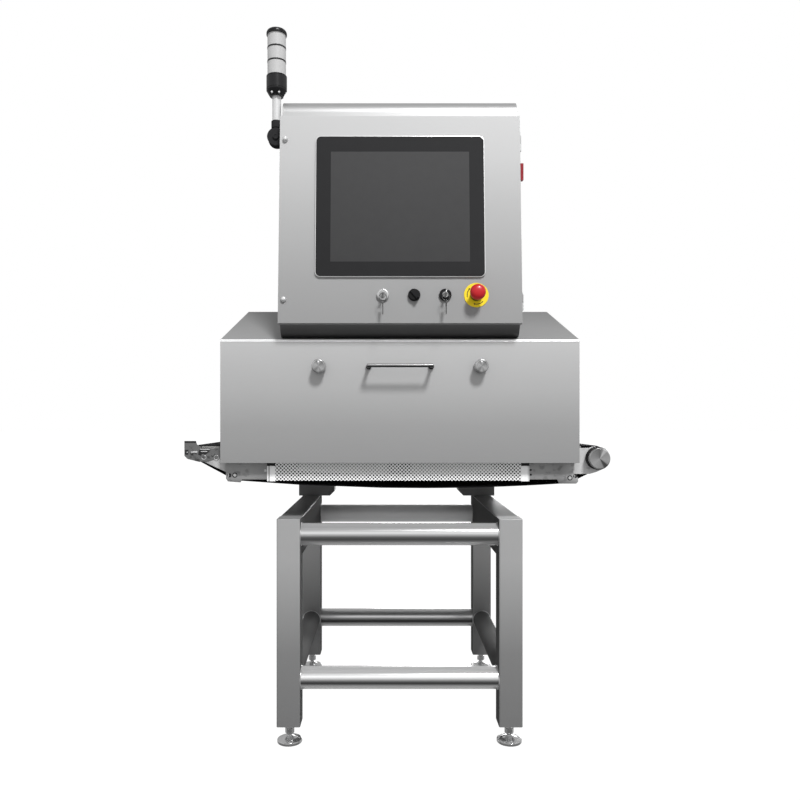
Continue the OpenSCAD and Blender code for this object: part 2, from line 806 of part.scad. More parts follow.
// Outline of the head's side, t inside its outer face
function bend_arc(middle, r, a0, a1) = [
    for (i = [0:bend_steps])
        let (a = a0 + (a1 - a0) * i / bend_steps)
        middle + r * [cos(a), sin(a)]
];
function roof_seat(y, t) = roof_at(y) + (gasket_t + t) * roof_norm;
function head_outline(t) = concat(
    bend_arc(top_bend, bend_r - t, 90, 180 - lean),
    bend_arc(low_bend, bend_r - t, 180 - lean,
        360 + roof_facing - acos((bend_to_roof - t) / (bend_r - t))),
    [[head_back_y - t, roof_seat(head_back_y - t, t)], [head_back_y - t, head_top_z - t]]
);

module at_door() {
    translate([0, -door_reach, door_z]) rotate([-lean, 0, 0]) children();
}

// Shell of the head: one wrapped sheet with side walls, open at the front behind the door
module head_shell() {
    color("#a6a6a6") in_place() difference() {
        along_x(-head_w / 2, head_w / 2) polygon(head_outline(0));
        along_x(-head_w / 2 + head_sheet, head_w / 2 - head_sheet) polygon(head_outline(head_sheet));
        at_door() block([-head_w / 2 + lip_w, door_t, mouth_margin],
            [head_w / 2 - lip_w, shell_y + 2 * head_sheet, door_h - mouth_margin]);
        at_tower_bolts() rod_x(tower_bolt_d, -over, head_sheet + over);
    }
}

// Flat seal between the head and the roof
module head_gasket() {
    y0 = low_bend[0];
    color("#202020") in_place() difference() {
        along_x(-head_w / 2 + gasket_w / 4, head_w / 2 - gasket_w / 4)
            gasket_side(y0, head_back_y - gasket_w / 4);
        along_x(-head_w / 2 + gasket_w, head_w / 2 - gasket_w) translate([0, -over])
            offset_up(2 * over) gasket_side(y0 + gasket_w, head_back_y - gasket_w);
    }
}
module gasket_side(y0, y1) {
    polygon([
        [y0, roof_at(y0) + fit],
        [y1, roof_at(y1) + fit],
        [y1, roof_seat(y1, 0) - fit],
        [y0, roof_seat(y0, 0) - fit]
    ]);
}
module offset_up(h) {
    children();
    translate([0, h]) children();
}

// Power supply and controller on the head's back wall
supply_size = [150, 70, 200];
controller_size = [220, 60, 160];
board_z = 1250;
board_gap = 30;
module power_supply() {
    color("#5c6064") in_place() block(
        [-board_gap - supply_size[0], head_back_y - head_sheet - supply_size[1], board_z],
        [-board_gap, head_back_y - head_sheet, board_z + supply_size[2]]);
}
module controller() {
    color("#3c4a42") in_place() block(
        [board_gap, head_back_y - head_sheet - controller_size[1], board_z],
        [board_gap + controller_size[0], head_back_y - head_sheet, board_z + controller_size[2]]);
}

// Door: a folded tray with openings for the monitor, the switches and the latches
switch_xs = [-42, 34, 109.5, 185];
barrel_d = 22;
latch_x = 283.5;
latch_low = 58.2;
latch_top = 60.6;
latch_ups = [latch_low, door_h - latch_top];
latch_shaft_d = 8;
bezel_h = door_h - bezel_low - bezel_top;
bezel_up = bezel_low + bezel_h / 2;
screen_w = bezel_w - 2 * bezel_side;
screen_h = bezel_h - 2 * bezel_edge;
monitor_back_w = bezel_w - 2 * door_hole_margin;
monitor_back_h = bezel_h - 2 * door_hole_margin;

module at_switches() {
    for (x = switch_xs) translate([x, 0, switch_up]) children();
}
module at_latches() {
    for (up = latch_ups) translate([-latch_x, 0, up]) children();
}
module door_panel() {
    w = door_w / 2;
    color("#b8b8b8") in_place() at_door() difference() {
        block([-w, 0, 0], [w, door_t, door_h]);
        block([-w + head_sheet, head_sheet, head_sheet],
            [w - head_sheet, door_t + over, door_h - head_sheet]);
        block([-monitor_back_w / 2, -over, bezel_up - monitor_back_h / 2],
            [monitor_back_w / 2, head_sheet + over, bezel_up + monitor_back_h / 2]);
        at_switches() rod_y(barrel_d, -over, head_sheet + over);
        at_latches() rod_y(latch_shaft_d + 2 * fit, -over, head_sheet + over);
    }
}

// Seal on the lip round the shell's mouth that the door closes against
module door_seal() {
    w = head_w / 2;
    color("#181818") in_place() at_door() difference() {
        block([-w, door_t + gap, mouth_margin / 2], [w, shell_y - fit, door_h - mouth_margin / 2]);
        block([-w + lip_w, door_t, mouth_margin], [w - lip_w, shell_y + over, door_h - mouth_margin]);
    }
}

// Door hinges at the right edge: a leaf and pin on the shell, a knuckle on the door
hinge_r = 3.5;
hinge_pin_d = 3;
hinge_x = 300.5;
hinge_back = 3;
hinge_low = 36;
hinge_top = 80.5;
hinge_ups = [hinge_low, door_h - hinge_top];
hinge_h = 40;
leaf_t = 1.6;
leaf_len = 24;
module at_hinges() {
    for (up = hinge_ups) translate([hinge_x, door_t + hinge_back, up]) children();
}
module door_hinge_leaves() {
    color("#9a9a9a") in_place() at_door() at_hinges() {
        difference() {
            union() {
                cylinder(r = hinge_r, h = hinge_h / 2 - gap);
                block([head_w / 2 - hinge_x, 0, 0],
                    [head_w / 2 + leaf_t - hinge_x, leaf_len, hinge_h / 2 - gap]);
                block([head_w / 2 - hinge_x, 0, 0], [0, leaf_t, hinge_h / 2 - gap]);
            }
            translate([0, 0, -over]) cylinder(d = hinge_pin_d, h = hinge_h);
        }
        cylinder(d = hinge_pin_d, h = hinge_h - gap);
    }
}
module door_hinge_knuckles() {
    edge = door_w / 2 - hinge_x;
    color("#9a9a9a") in_place() at_door() at_hinges() translate([0, 0, hinge_h / 2]) difference() {
        union() {
            cylinder(r = hinge_r, h = hinge_h / 2);
            block([edge, -door_t, 0], [edge + leaf_t, -hinge_back, hinge_h / 2]);
            block([edge, -hinge_back - leaf_t, 0], [0, -hinge_back, hinge_h / 2]);
            block([-leaf_t / 2, -hinge_back - leaf_t, 0], [leaf_t / 2, 0, hinge_h / 2]);
        }
        translate([0, 0, -over]) cylinder(d = hinge_pin_d + 2 * fit, h = hinge_h);
    }
}

// Monitor: bezel on the door's face, glass let into it, and the housing behind
bezel_t = 6;
bezel_r = 13;
glass_t = 2;
monitor_depth = 62;
module monitor_bezel() {
    color("#353535") in_place() at_door() translate([0, 0, bezel_up]) difference() {
        rotate([90, 0, 0]) linear_extrude(bezel_t) polygon(round_rect(bezel_w, bezel_h, bezel_r));
        block([-screen_w / 2, -bezel_t - over, -screen_h / 2],
            [screen_w / 2, -bezel_t + glass_t, screen_h / 2]);
    }
}
module screen_glass() {
    color("#505050") in_place() at_door() translate([0, 0, bezel_up])
        block([-screen_w / 2, -bezel_t, -screen_h / 2], [screen_w / 2, -bezel_t + glass_t, screen_h / 2]);
}
module monitor_housing() {
    color("#46484a") in_place() at_door() translate([0, 0, bezel_up]) {
        block([-monitor_back_w / 2, 0, -monitor_back_h / 2],
            [monitor_back_w / 2, monitor_depth, monitor_back_h / 2]);
    }
}

// Latches: a stud through the door with a cam behind the shell's lip
latch_d = 14;
latch_head_t = 8;
latch_cam_len = 8.5;
latch_cam_w = 6;
latch_cam_t = 3;
latch_cam_gap = 0.8;
module latch(up) {
    cam_y = shell_y + head_sheet + latch_cam_gap;
    color("#c0c0c0") in_place() at_door() translate([-latch_x, 0, up]) {
        rotate([90, 0, 0]) rotate_extrude() polygon([
            [0, 0],
            [latch_d / 2, 0],
            [latch_d / 2, latch_head_t / 2],
            [latch_d / 4, latch_head_t],
            [0, latch_head_t]
        ]);
        rod_y(latch_shaft_d, 0, cam_y + latch_cam_t);
        block([-latch_cam_w / 2, cam_y, -latch_cam_len], [latch_cam_w / 2, cam_y + latch_cam_t, 0]);
    }
}
module latch_lower() { latch(latch_ups[0]); }
module latch_upper() { latch(latch_ups[1]); }

// Switch bodies: panel ring, and a barrel through the door, bored for what turns in it
ring_t = 7;
ring_chamfer = 1.5;
barrel_len = 34;
core_d = 15;
core_deep = 12;
module switch_body() {
    rotate([90, 0, 0]) rotate_extrude() polygon([
        [core_d / 2 + fit, -core_deep],
        [barrel_d / 2, -core_deep],
        [barrel_d / 2, 0],
        [switch_d / 2, 0],
        [switch_d / 2, ring_t - ring_chamfer],
        [switch_d / 2 - ring_chamfer, ring_t],
        [core_d / 2 + fit, ring_t]
    ]);
    rod_y(barrel_d, core_deep, barrel_len);
}
module key_switch_left() {
    color("#c8c8c8") in_place() at_door() translate([switch_xs[0], 0, switch_up]) switch_body();
}
module selector_switch() {
    color("#1c1c1c") in_place() at_door() translate([switch_xs[1], 0, switch_up]) switch_body();
}
module key_switch_right() {
    color("#1c1c1c") in_place() at_door() translate([switch_xs[2], 0, switch_up]) switch_body();
}

// Lock core with its key: blade in the slot, bow standing out, edge to the front
key_t = 2;
key_neck_w = 8;
key_neck_len = 8;
bow_d = 18;
bow_hole_d = 6;
bow_hole_off = 5;
bow_y = ring_t + key_neck_len + bow_d / 2 - key_t;
core_lip = 1;
module key_shape(neck, tip) {
    difference() {
        union() {
            rod_x(bow_d, -key_t / 2, key_t / 2);
            block([-key_t / 2, 0, -key_neck_w / 2], [key_t / 2, neck, key_neck_w / 2]);
            block([-key_t / 2, neck - over, -key_neck_w / 3], [key_t / 2, tip, key_neck_w / 3]);
        }
        translate([0, -bow_hole_off, 0]) rod_x(bow_hole_d, -key_t, key_t);
    }
}
module key_in_core(x) {
    color("#d0d0d0") in_place() at_door() translate([x, 0, switch_up]) {
        rod_y(core_d, -ring_t - core_lip, core_deep - gap);
        translate([0, -bow_y, 0]) key_shape(bow_y - ring_t, bow_y - ring_t);
    }
}
module key_left() { key_in_core(switch_xs[0]); }
module key_right() { key_in_core(switch_xs[2]); }

// Spare key hanging on a ring through the bow of the key in the lock
wire_d = 1.6;
ring_r = 9;
spare_len = 26;
// Drop of the ring's wire in a bow's hole, where it rests on the rim
ring_seat = bow_hole_d / 2 - wire_d / 2 - gap;
module at_ring(x) {
    translate([x, -bow_y - bow_hole_off, switch_up - ring_seat - ring_r]) children();
}
module spare_key(x) {
    color("#b8b8b8") in_place() at_door() at_ring(x) {
        rotate([90, 0, 0]) rotate_extrude() translate([ring_r, 0]) circle(d = wire_d);
        translate([0, 0, -ring_r - ring_seat - bow_hole_off]) rotate([-90, 0, 0])
            key_shape(spare_len / 2, spare_len);
    }
}
module spare_key_left() { spare_key(switch_xs[0]); }
module spare_key_right() { spare_key(switch_xs[2]); }

// Selector: a knob with a finger bar across it, pointing up and to the left at rest
selector_bar_w = 8;
selector_bar_h = 9;
selector_disc_h = 3;
selector_angle = 40;
module selector_knob() {
    color("#141414") in_place() at_door() translate([switch_xs[1], 0, switch_up]) {
        rod_y(core_d, -ring_t - gap, core_deep - gap);
        rod_y(switch_d - 2 * ring_chamfer, -ring_t - gap - selector_disc_h, -ring_t - gap);
        rotate([0, -selector_angle, 0]) block(
            [-selector_bar_w / 2, -ring_t - gap - selector_disc_h - selector_bar_h, -core_d * 0.8],
            [selector_bar_w / 2, -ring_t - gap, core_d * 0.8]);
    }
}

// Emergency stop: yellow ring, black body, stem that is pushed and head that is twisted to let go
estop_ring_t = 2;
estop_collar_h = 14;
estop_stem_d = 12;
estop_cap_h = 20;
estop_edge_h = 9;
estop_gap = 5;
estop_steps = 6;
module estop_ring() {
    color("#f2d21a") in_place() at_door() translate([switch_xs[3], 0, switch_up]) difference() {
        rod_y(estop_ring_d, -estop_ring_t, 0);
        rod_y(barrel_d, -estop_ring_t - over, over);
    }
}
module estop_body() {
    color("#1c1c1c") in_place() at_door() translate([switch_xs[3], 0, switch_up]) difference() {
        union() {
            rod_y(switch_d, -estop_collar_h, -estop_ring_t);
            rod_y(barrel_d, -estop_ring_t, barrel_len);
        }
        rod_y(estop_stem_d + 2 * fit, -estop_collar_h - over, barrel_len - core_deep);
    }
}
module estop_stem() {
    color("#8c1a1a") in_place() at_door() translate([switch_xs[3], 0, switch_up])
        rod_y(estop_stem_d, -estop_len + estop_cap_h / 2, barrel_len - core_deep - estop_push - estop_gap);
}
module estop_head() {
    r = estop_head_d / 2;
    dome_h = estop_cap_h - estop_edge_h;
    color("#c8262a") in_place() at_door() translate([switch_xs[3], 0, switch_up])
        rotate([90, 0, 0]) rotate_extrude() polygon(concat(
            [
                [0, estop_len - estop_cap_h / 2],
                [estop_stem_d / 2 + fit, estop_len - estop_cap_h / 2],
                [estop_stem_d / 2 + fit, estop_len - estop_cap_h - estop_gap],
                [r * 0.6, estop_len - estop_cap_h - estop_gap],
                [r * 0.8, estop_len - estop_cap_h]
            ],
            [
                for (i = [0:estop_steps])
                    let (a = 90 * i / estop_steps)
                    [r * cos(a), estop_len - dome_h + dome_h * sin(a)]
            ]
        ));
}

// Main isolator on the right wall: black rosette and red handle
isolator_y = 115;
isolator_z = 1481;
rosette_d = 50;
rosette_t = 8;
lever_len = 44;
lever_w = 14;
lever_out = 32;
hub_d = 30;
module at_isolator() {
    translate([head_w / 2, isolator_y, isolator_z]) children();
}
module isolator_base() {
    color("#2c2c2c") in_place() at_isolator() difference() {
        rod_x(rosette_d, 0, rosette_t);
        rod_x(core_d + 2 * fit, rosette_t / 2, rosette_t + over);
    }
}
module isolator_handle() {
    color("#b01c2c") in_place() at_isolator() {
        rod_x(core_d, rosette_t / 2 + gap, rosette_t + gap);
        rod_x(hub_d, rosette_t + gap, lever_out * 0.6);
        block([rosette_t + gap, -lever_w / 2, -lever_len / 2], [lever_out, lever_w / 2, lever_len / 2]);
    }
}

// Signal tower
ear_r = 22.5;
ear_t = 6;
knuckle_r = 12;
knuckle_t = 14;
tower_pin_d = 8;
pin_head_d = 14;
pin_head_h = 3;
wall_plate_t = 2.5;
wall_plate_h = 64;
tower_bolt_d = 6;
tower_bolt_up = 22;
neck_w = 12;
socket_d = 27;
socket_h = 18;
pole_len = 62;
pole_deep = 12;
base_h = 51.5;
base_taper_h = 14;
base_low_d = 35;
lens_wall = 3;
lens_ring_h = 2.5;
led_d = 16;
cap_h = 14.5;
cap_edge_h = 5;
cap_steps = 6;
socket_gap = 1.5;
socket_z = ear_r + socket_gap;

module at_pivot() {
    translate([-tower_x, tower_y, tower_pivot_z]) children();
}
module at_tower_bolts() {
    for (dz = [-tower_bolt_up, tower_bolt_up])
        translate([-head_w / 2, tower_y, tower_pivot_z + dz]) children();
}
module tower_bracket() {
    wall = tower_x - head_w / 2;
    outer = knuckle_t / 2 + gap + ear_t;
    color("#1a1a1a") in_place() at_pivot() difference() {
        union() {
            intersection() {
                union() {
                    rod_y(2 * ear_r, -outer, -knuckle_t / 2 - gap);
                    rod_y(2 * ear_r, knuckle_t / 2 + gap, outer);
                }
                block([-ear_r - over, -outer - over, -ear_r - over], [wall, outer + over, ear_r + over]);
            }
            block([wall - wall_plate_t, -outer, -wall_plate_h / 2], [wall, outer, wall_plate_h / 2]);
        }
        rod_y(tower_pin_d, -outer - over, outer + over);
        rod_y(2 * knuckle_r + 2 * gap, -knuckle_t / 2 - gap, knuckle_t / 2 + gap);
        for (dz = [-tower_bolt_up, tower_bolt_up])
            translate([0, 0, dz]) rod_x(tower_bolt_d, 0, wall + over);
    }
}
module tower_pin() {
    outer = knuckle_t / 2 + gap + ear_t;
    color("#d8d8d8") in_place() {
        at_pivot() {
            rod_y(tower_pin_d, -outer, outer);
            rod_y(pin_head_d, -outer - pin_head_h, -outer);
            rod_y(pin_head_d, outer, outer + pin_head_h);
        }
        at_tower_bolts() rod_x(tower_bolt_d, 0, head_sheet);
    }
}
module tower_knuckle() {
    color("#1a1a1a") in_place() at_pivot() difference() {
        union() {
            rod_y(2 * knuckle_r, -knuckle_t / 2, knuckle_t / 2);
            block([-neck_w / 2, -knuckle_t / 2, 0], [neck_w / 2, knuckle_t / 2, socket_z + over]);
            translate([0, 0, socket_z]) cylinder(d = socket_d, h = socket_h);
        }
        rod_y(tower_pin_d + 2 * fit, -knuckle_t, knuckle_t);
        translate([0, 0, socket_z + socket_h - pole_deep]) cylinder(d = pole_d, h = pole_deep + over);
    }
}
pole_z = socket_z + socket_h;
base_z = pole_z + pole_len;
lens_z = base_z + base_h;
module tower_pole() {
    color("#e4e4e4") in_place() at_pivot() translate([0, 0, pole_z - pole_deep])
        cylinder(d = pole_d, h = pole_len + pole_deep);
}
module tower_base() {
    color("#222222") in_place() at_pivot() translate([0, 0, base_z]) rotate_extrude() polygon([
        [0, 0],
        [base_low_d / 2, 0],
        [tower_base_d / 2, base_taper_h],
        [tower_base_d / 2, base_h],
        [0, base_h]
    ]);
}
module tower_lenses() {
    color("#e6e6e6") in_place() at_pivot() for (i = [0:lens_count - 1])
        translate([0, 0, lens_z + i * lens_h + (i > 0 ? lens_ring_h : 0)]) difference() {
            h = lens_h - (i > 0 ? lens_ring_h : 0);
            cylinder(d = lens_d, h = h);
            translate([0, 0, -over]) cylinder(d = lens_d - 2 * lens_wall, h = h + 2 * over);
        }
}
module tower_rings() {
    color("#303030") in_place() at_pivot() for (i = [1:lens_count - 1])
        translate([0, 0, lens_z + i * lens_h]) difference() {
            cylinder(d = lens_d, h = lens_ring_h);
            translate([0, 0, -over]) cylinder(d = led_d, h = lens_ring_h + 2 * over);
        }
}
module tower_leds() {
    color("#f4f4e8") in_place() at_pivot() translate([0, 0, lens_z])
        cylinder(d = led_d, h = lens_count * lens_h);
}
module tower_cap() {
    r = tower_base_d / 2;
    color("#1a1a1a") in_place() at_pivot() translate([0, 0, lens_z + lens_count * lens_h])
        rotate_extrude() polygon(concat(
            [[0, 0], [r, 0]],
            [
                for (i = [0:cap_steps])
                    let (a = 90 * i / cap_steps)
                    [r * cos(a), cap_edge_h + (cap_h - cap_edge_h) * sin(a)]
            ]
        ));
}

// Conveyor
bed_t = 3;
bed_side = 4;
bed_end_gap = 6;
bed_z = belt_z - belt_t - bed_t;
drum_z = belt_z - belt_t - gap - drum_r;
tail_z = belt_z - belt_t - gap - tail_r;
snub_left_x = 415.5;
snub_left_z = 689;
snub_right_x = 429;
snub_right_z = 682;
drum_axle_d = 20;
axle_d = 8;
roller_side = 1.5;
arc_step = 10;
sag_steps = 16;

// Beams from the rear housing to the front side plate, and the rails on them
beam_left_x = 324;
beam_right_x = 316.5;
beam_w = 21;
beam_z = 673;
beam_h = 39.5;
beam_wall = 2;
beam_half = beam_w / 2;
beam_places = [-beam_left_x, beam_right_x];

// Side plates
plate_low_z = 678;
plate_deep_z = 667.5;
plate_left_z = 670.5;
plate_end_x = 438;
plate_corner_x = 450;
arm_low_z = 692;
step_x = 397;
step_w = 5;
guard_t = 1.5;
guard_top = 745;
guard_edge = 8;

// Rollers that the belt runs round, as [x, z, radius], in the order of its travel
function rollers(extra) = [
    [-snub_left_x, snub_left_z, snub_r + extra],
    [snub_right_x, snub_right_z, snub_r + extra],
    [drum_x, drum_z, drum_r + extra],
    [-tail_x, tail_z, tail_r + extra]
];
// Direction from a roller's middle to where the belt leaves it for the next roller
function leaving(a, b) =
    let (dx = b[0] - a[0], dz = b[1] - a[1])
    atan2(dz, dx) - acos((a[2] - b[2]) / norm([dx, dz]));
function turned(a0, a1) = a0 + ((a1 - a0) % 360 + 360) % 360;
function on_roller(c, a) = [c[0] + c[2] * cos(a), c[1] + c[2] * sin(a)];
function wrap(before, c, after) =
    let (a0 = leaving(before, c), a1 = turned(a0, leaving(c, after)), n = ceil((a1 - a0) / arc_step))
    [for (i = [0:n]) on_roller(c, a0 + (a1 - a0) * i / n)];
function sagging(p, q) = [
    for (i = [1:sag_steps - 1])
        let (t = i / sag_steps)
        [p[0] + (q[0] - p[0]) * t, p[1] + (q[1] - p[1]) * t - 4 * belt_sag * t * (1 - t)]
];
function belt_outline(extra) =
    let (c = rollers(extra), arcs = [for (i = [0:3]) wrap(c[(i + 3) % 4], c[i], c[(i + 1) % 4])])
    concat(arcs[0], sagging(arcs[0][len(arcs[0]) - 1], arcs[1][0]), arcs[1], arcs[2], arcs[3]);

module conveyor_belt() {
    color("#161616") in_place() along_y(belt_y0, belt_y1) difference() {
        polygon(belt_outline(gap + belt_t));
        polygon(belt_outline(gap));
    }
}

module at_xz(x, z) {
    translate([x, 0, z]) children();
}
module roller(x, z, r, bore) {
    color("#a8a8a8") in_place() at_xz(x, z) difference() {
        rod_y(2 * r, belt_y0 - roller_side, belt_y1 + roller_side);
        rod_y(bore + 2 * fit, belt_y0 - roller_side - over, belt_y1 + roller_side + over);
    }
}
module drive_drum() { roller(drum_x, drum_z, drum_r, drum_axle_d); }
module tail_roller() { roller(-tail_x, tail_z, tail_r, axle_d); }
module snub_roller_left() { roller(-snub_left_x, snub_left_z, snub_r, axle_d); }
module snub_roller_right() { roller(snub_right_x, snub_right_z, snub_r, axle_d); }

module drum_axle() {
    color("#8c8c8c") in_place() at_xz(drum_x, drum_z)
        rod_y(drum_axle_d, plate_y, rear_plate_y + plate_t);
}
module roller_axles() {
    color("#c0c0c0") in_place() {
        at_xz(-tail_x, tail_z) rod_y(axle_d, plate_y, rear_plate_y + plate_t);
        at_xz(-snub_left_x, snub_left_z) rod_y(axle_d, plate_y, rear_plate_y + plate_t);
        at_xz(snub_right_x, snub_right_z) rod_y(axle_d, plate_y, rear_plate_y + plate_t);
    }
}

module left_plate_outline() {
    polygon([
        [-beam_left_x - beam_half, bed_z],
        [-tail_x - tail_r, bed_z],
        [-tail_x - tail_r, tail_z - tail_r * 0.6],
        [-tail_x + tail_r * 0.3, tail_z - tail_r],
        [-plate_end_x, arm_low_z + step_w],
        [-plate_end_x, plate_left_z + 2 * step_w],
        [-plate_end_x + step_w, plate_left_z + step_w / 2],
        [-step_x - step_w, plate_left_z],
        [-step_x, plate_low_z],
        [-beam_left_x - beam_half, plate_low_z]
    ]);
}
module right_plate_outline() {
    polygon([
        [beam_right_x + beam_half, bed_z],
        [drum_x + drum_r * 0.8, bed_z],
        [drum_x + drum_r * 0.8, drum_z - drum_r * 0.9],
        [drum_x, arm_low_z + step_w],
        [drum_x - drum_r * 0.6, arm_low_z],
        [plate_corner_x - 2 * step_w, arm_low_z],
        [plate_corner_x, arm_low_z - 2 * step_w],
        [plate_corner_x, plate_deep_z + step_w],
        [plate_corner_x - step_w, plate_deep_z],
        [step_x + step_w, plate_deep_z],
        [step_x, plate_low_z],
        [beam_right_x + beam_half, plate_low_z]
    ]);
}
module side_plate_pair(y) {
    color("#8e8e8e") in_place() difference() {
        along_y(y, y + plate_t) {
            left_plate_outline();
            right_plate_outline();
        }
        at_xz(drum_x, drum_z) rod_y(drum_axle_d, y - over, y + plate_t + over);
        at_xz(-tail_x, tail_z) rod_y(axle_d, y - over, y + plate_t + over);
        at_xz(-snub_left_x, snub_left_z) rod_y(axle_d, y - over, y + plate_t + over);
        at_xz(snub_right_x, snub_right_z) rod_y(axle_d, y - over, y + plate_t + over);
    }
}
module side_plates_front() { side_plate_pair(plate_y); }
module side_plates_rear() { side_plate_pair(rear_plate_y); }

module conveyor_beams() {
    inner = beam_half - beam_wall;
    color("#d4d4d4") in_place() for (x = beam_places) difference() {
        block([x - beam_half, plate_y, beam_z], [x + beam_half, rear_y, beam_z + beam_h]);
        block([x - inner, plate_y + beam_wall, beam_z + beam_wall],
            [x + inner, rear_y + over, beam_z + beam_h - beam_wall]);
    }
}
module bed_rails() {
    color("#1e1e1e") in_place() for (x = beam_places)
        block([x - beam_half, plate_y, beam_z + beam_h], [x + beam_half, rear_plate_y, bed_z]);
}

// Bed that the belt slides on, cut open over the detector
module bed_plate() {
    color("#909090") in_place() difference() {
        block([-tail_x + tail_r + bed_end_gap, belt_y0 - bed_side, bed_z],
            [drum_x - drum_r - bed_end_gap, belt_y1 + bed_side, bed_z + bed_t]);
        block([-window_w / 2, belt_y0 + slit_margin, bed_z - over],
            [window_w / 2, belt_y1 - slit_margin, bed_z + bed_t + over]);
    }
}

// Perforated guard in front of the return strand, with staggered holes
module perforated_guard() {
    low = beam_z + beam_wall;
    left = beam_left_x - beam_half;
    right = beam_right_x - beam_half;
    rows = floor((guard_top - low - 2 * guard_edge) / guard_pitch * 2);
    columns = floor((right - guard_edge - guard_hole / 2) / guard_pitch);
    color("#c6c6c6") in_place() difference() {
        block([-left, plate_y, low], [right, plate_y + guard_t, guard_top]);
        for (row = [0:rows], column = [-columns:columns - row % 2])
            at_xz((column + (row % 2) / 2) * guard_pitch, low + guard_edge + row * guard_pitch / 2)
                rod_y(guard_hole, plate_y - over, plate_y + guard_t + over);
    }
}

// Brackets at the tail that hold the roller's axle and its tension screws
tail_bracket_h = 28;
tail_bracket_t = 3;
tail_bracket_shares = [
    [-0.68, 1], [0.33, 1], [0.43, 0.7], [0.93, 0.34], [2.66, 0.34], [2.66, -0.42],
    [1.9, -0.62], [1.36, -0.8], [0.68, -0.89], [-0.4, -0.62], [-0.68, -0.34]
];
module tail_brackets() {
    color("#6e6e6e") in_place() for (y = [plate_y - tail_bracket_t, rear_plate_y + plate_t])
        difference() {
            along_y(y, y + tail_bracket_t) translate([-tail_x, tail_z])
                polygon(tail_bracket_h * tail_bracket_shares);
            at_xz(-tail_x, tail_z) rod_y(axle_d, y - over, y + tail_bracket_t + over);
        }
}

// End caps of the drive drum's axle on both side plates
drive_cap_edge = 2;
module drive_cap(length) {
    rotate([90, 0, 0]) rotate_extrude() polygon([
        [0, 0],
        [drive_cap_d / 2, 0],
        [drive_cap_d / 2, length - drive_cap_edge],
        [drive_cap_d / 2 - drive_cap_edge, length],
        [0, length]
    ]);
}
module drive_caps() {
    color("#b6b6b6") in_place() at_xz(drum_x, drum_z) {
        translate([0, plate_y, 0]) drive_cap(drive_cap_len);
        translate([0, rear_plate_y + plate_t, 0]) mirror([0, 1, 0]) drive_cap(drive_cap_len / 2);
    }
}

// Screws on the conveyor: axle ends, bracket screws and plate screws
screw_head_d = 8;
screw_head_h = 3;
module screw_head() {
    rod_y(screw_head_d, -screw_head_h, 0);
}
module conveyor_screws() {
    color("#d0d0d0") in_place() {
        translate([-tail_x, plate_y - tail_bracket_t, tail_z]) screw_head();
        for (place_share = [[1, -0.3], [1.9, -0.2]])
            translate([-tail_x + tail_bracket_h * place_share[0], plate_y - tail_bracket_t,
                tail_z + tail_bracket_h * place_share[1]]) screw_head();
        translate([-snub_left_x, plate_y, snub_left_z]) screw_head_low();
        translate([snub_right_x, plate_y, snub_right_z]) screw_head_low();
    }
}
module screw_head_low() {
    rod_y(screw_head_d, -screw_head_h / 2, 0);
}

// Pieces that share a node, because they are alike or welded together
module legs() {
    leg_front_left();
    leg_front_right();
    leg_rear_left();
    leg_rear_right();
    leg_end_plugs();
}
module top_rails() {
    top_rail_left();
    top_rail_right();
}
module frame_tubes() {
    upper_cross_tubes();
    lower_cross_tubes();
    lower_side_tubes();
}
module fasteners() {
    jam_nuts();
    bracket_bolts();
    rear_panel_screws();
    conveyor_screws();
}
module end_walls() {
    end_wall_left();
    end_wall_right();
    cover_hinge_pins();
}
module rear_cover() {
    rear_panel();
    cable_gland();
}
module xray_source() {
    source_tank();
    collimator();
}
module detector() {
    detector_box();
    detector_window();
}
module head_seals() {
    head_gasket();
    door_seal();
}
module head_electronics() {
    power_supply();
    controller();
}
module door() {
    door_panel();
    door_hinge_knuckles();
}
module monitor_body() {
    monitor_bezel();
    monitor_housing();
}
module cover_lining() {
    cover_liner();
    cover_skin();
}
module switch_bodies() {
    key_switch_left();
    selector_switch();
    key_switch_right();
    estop_body();
}
module tower_mount() {
    tower_bracket();
    tower_pin();
}
module tower_housings() {
    tower_base();
    tower_rings();
    tower_cap();
}
module tower_lamps() {
    tower_lenses();
    tower_leds();
}
module roller_shafts() {
    drum_axle();
    drive_caps();
    roller_axles();
}
module side_plates() {
    side_plates_front();
    side_plates_rear();
    tail_brackets();
}
module slider_bed() {
    bed_plate();
    bed_rails();
}

legs();
top_rails();
frame_tubes();
foot_front_left();
foot_front_right();
foot_rear_left();
foot_rear_right();
fasteners();
mounting_brackets();
roof();
end_walls();
tunnel_hood();
rear_housing();
rear_cover();
curtain_rods();
curtain_left();
curtain_right();
xray_source();
detector();
front_cover();
cover_lining();
cover_handle();
cover_knob_left();
cover_knob_right();
head_shell();
head_seals();
head_electronics();
door();
door_hinge_leaves();
monitor_body();
screen_glass();
latch_lower();
latch_upper();
switch_bodies();
key_left();
key_right();
spare_key_left();
spare_key_right();
selector_knob();
estop_ring();
estop_stem();
estop_head();
isolator_base();
isolator_handle();
tower_mount();
tower_knuckle();
tower_pole();
tower_housings();
tower_lamps();
conveyor_belt();
drive_drum();
tail_roller();
snub_roller_left();
snub_roller_right();
roller_shafts();
side_plates();
conveyor_beams();
slider_bed();
perforated_guard();
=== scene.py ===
"""Looks of a food x-ray inspection machine: brushed stainless sheet, polished tube, plastic
switches, glass and rubber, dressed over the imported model. Metres, Z up, operator's side at -Y."""

import math

import bmesh
import bpy
from mathutils import Matrix, Vector


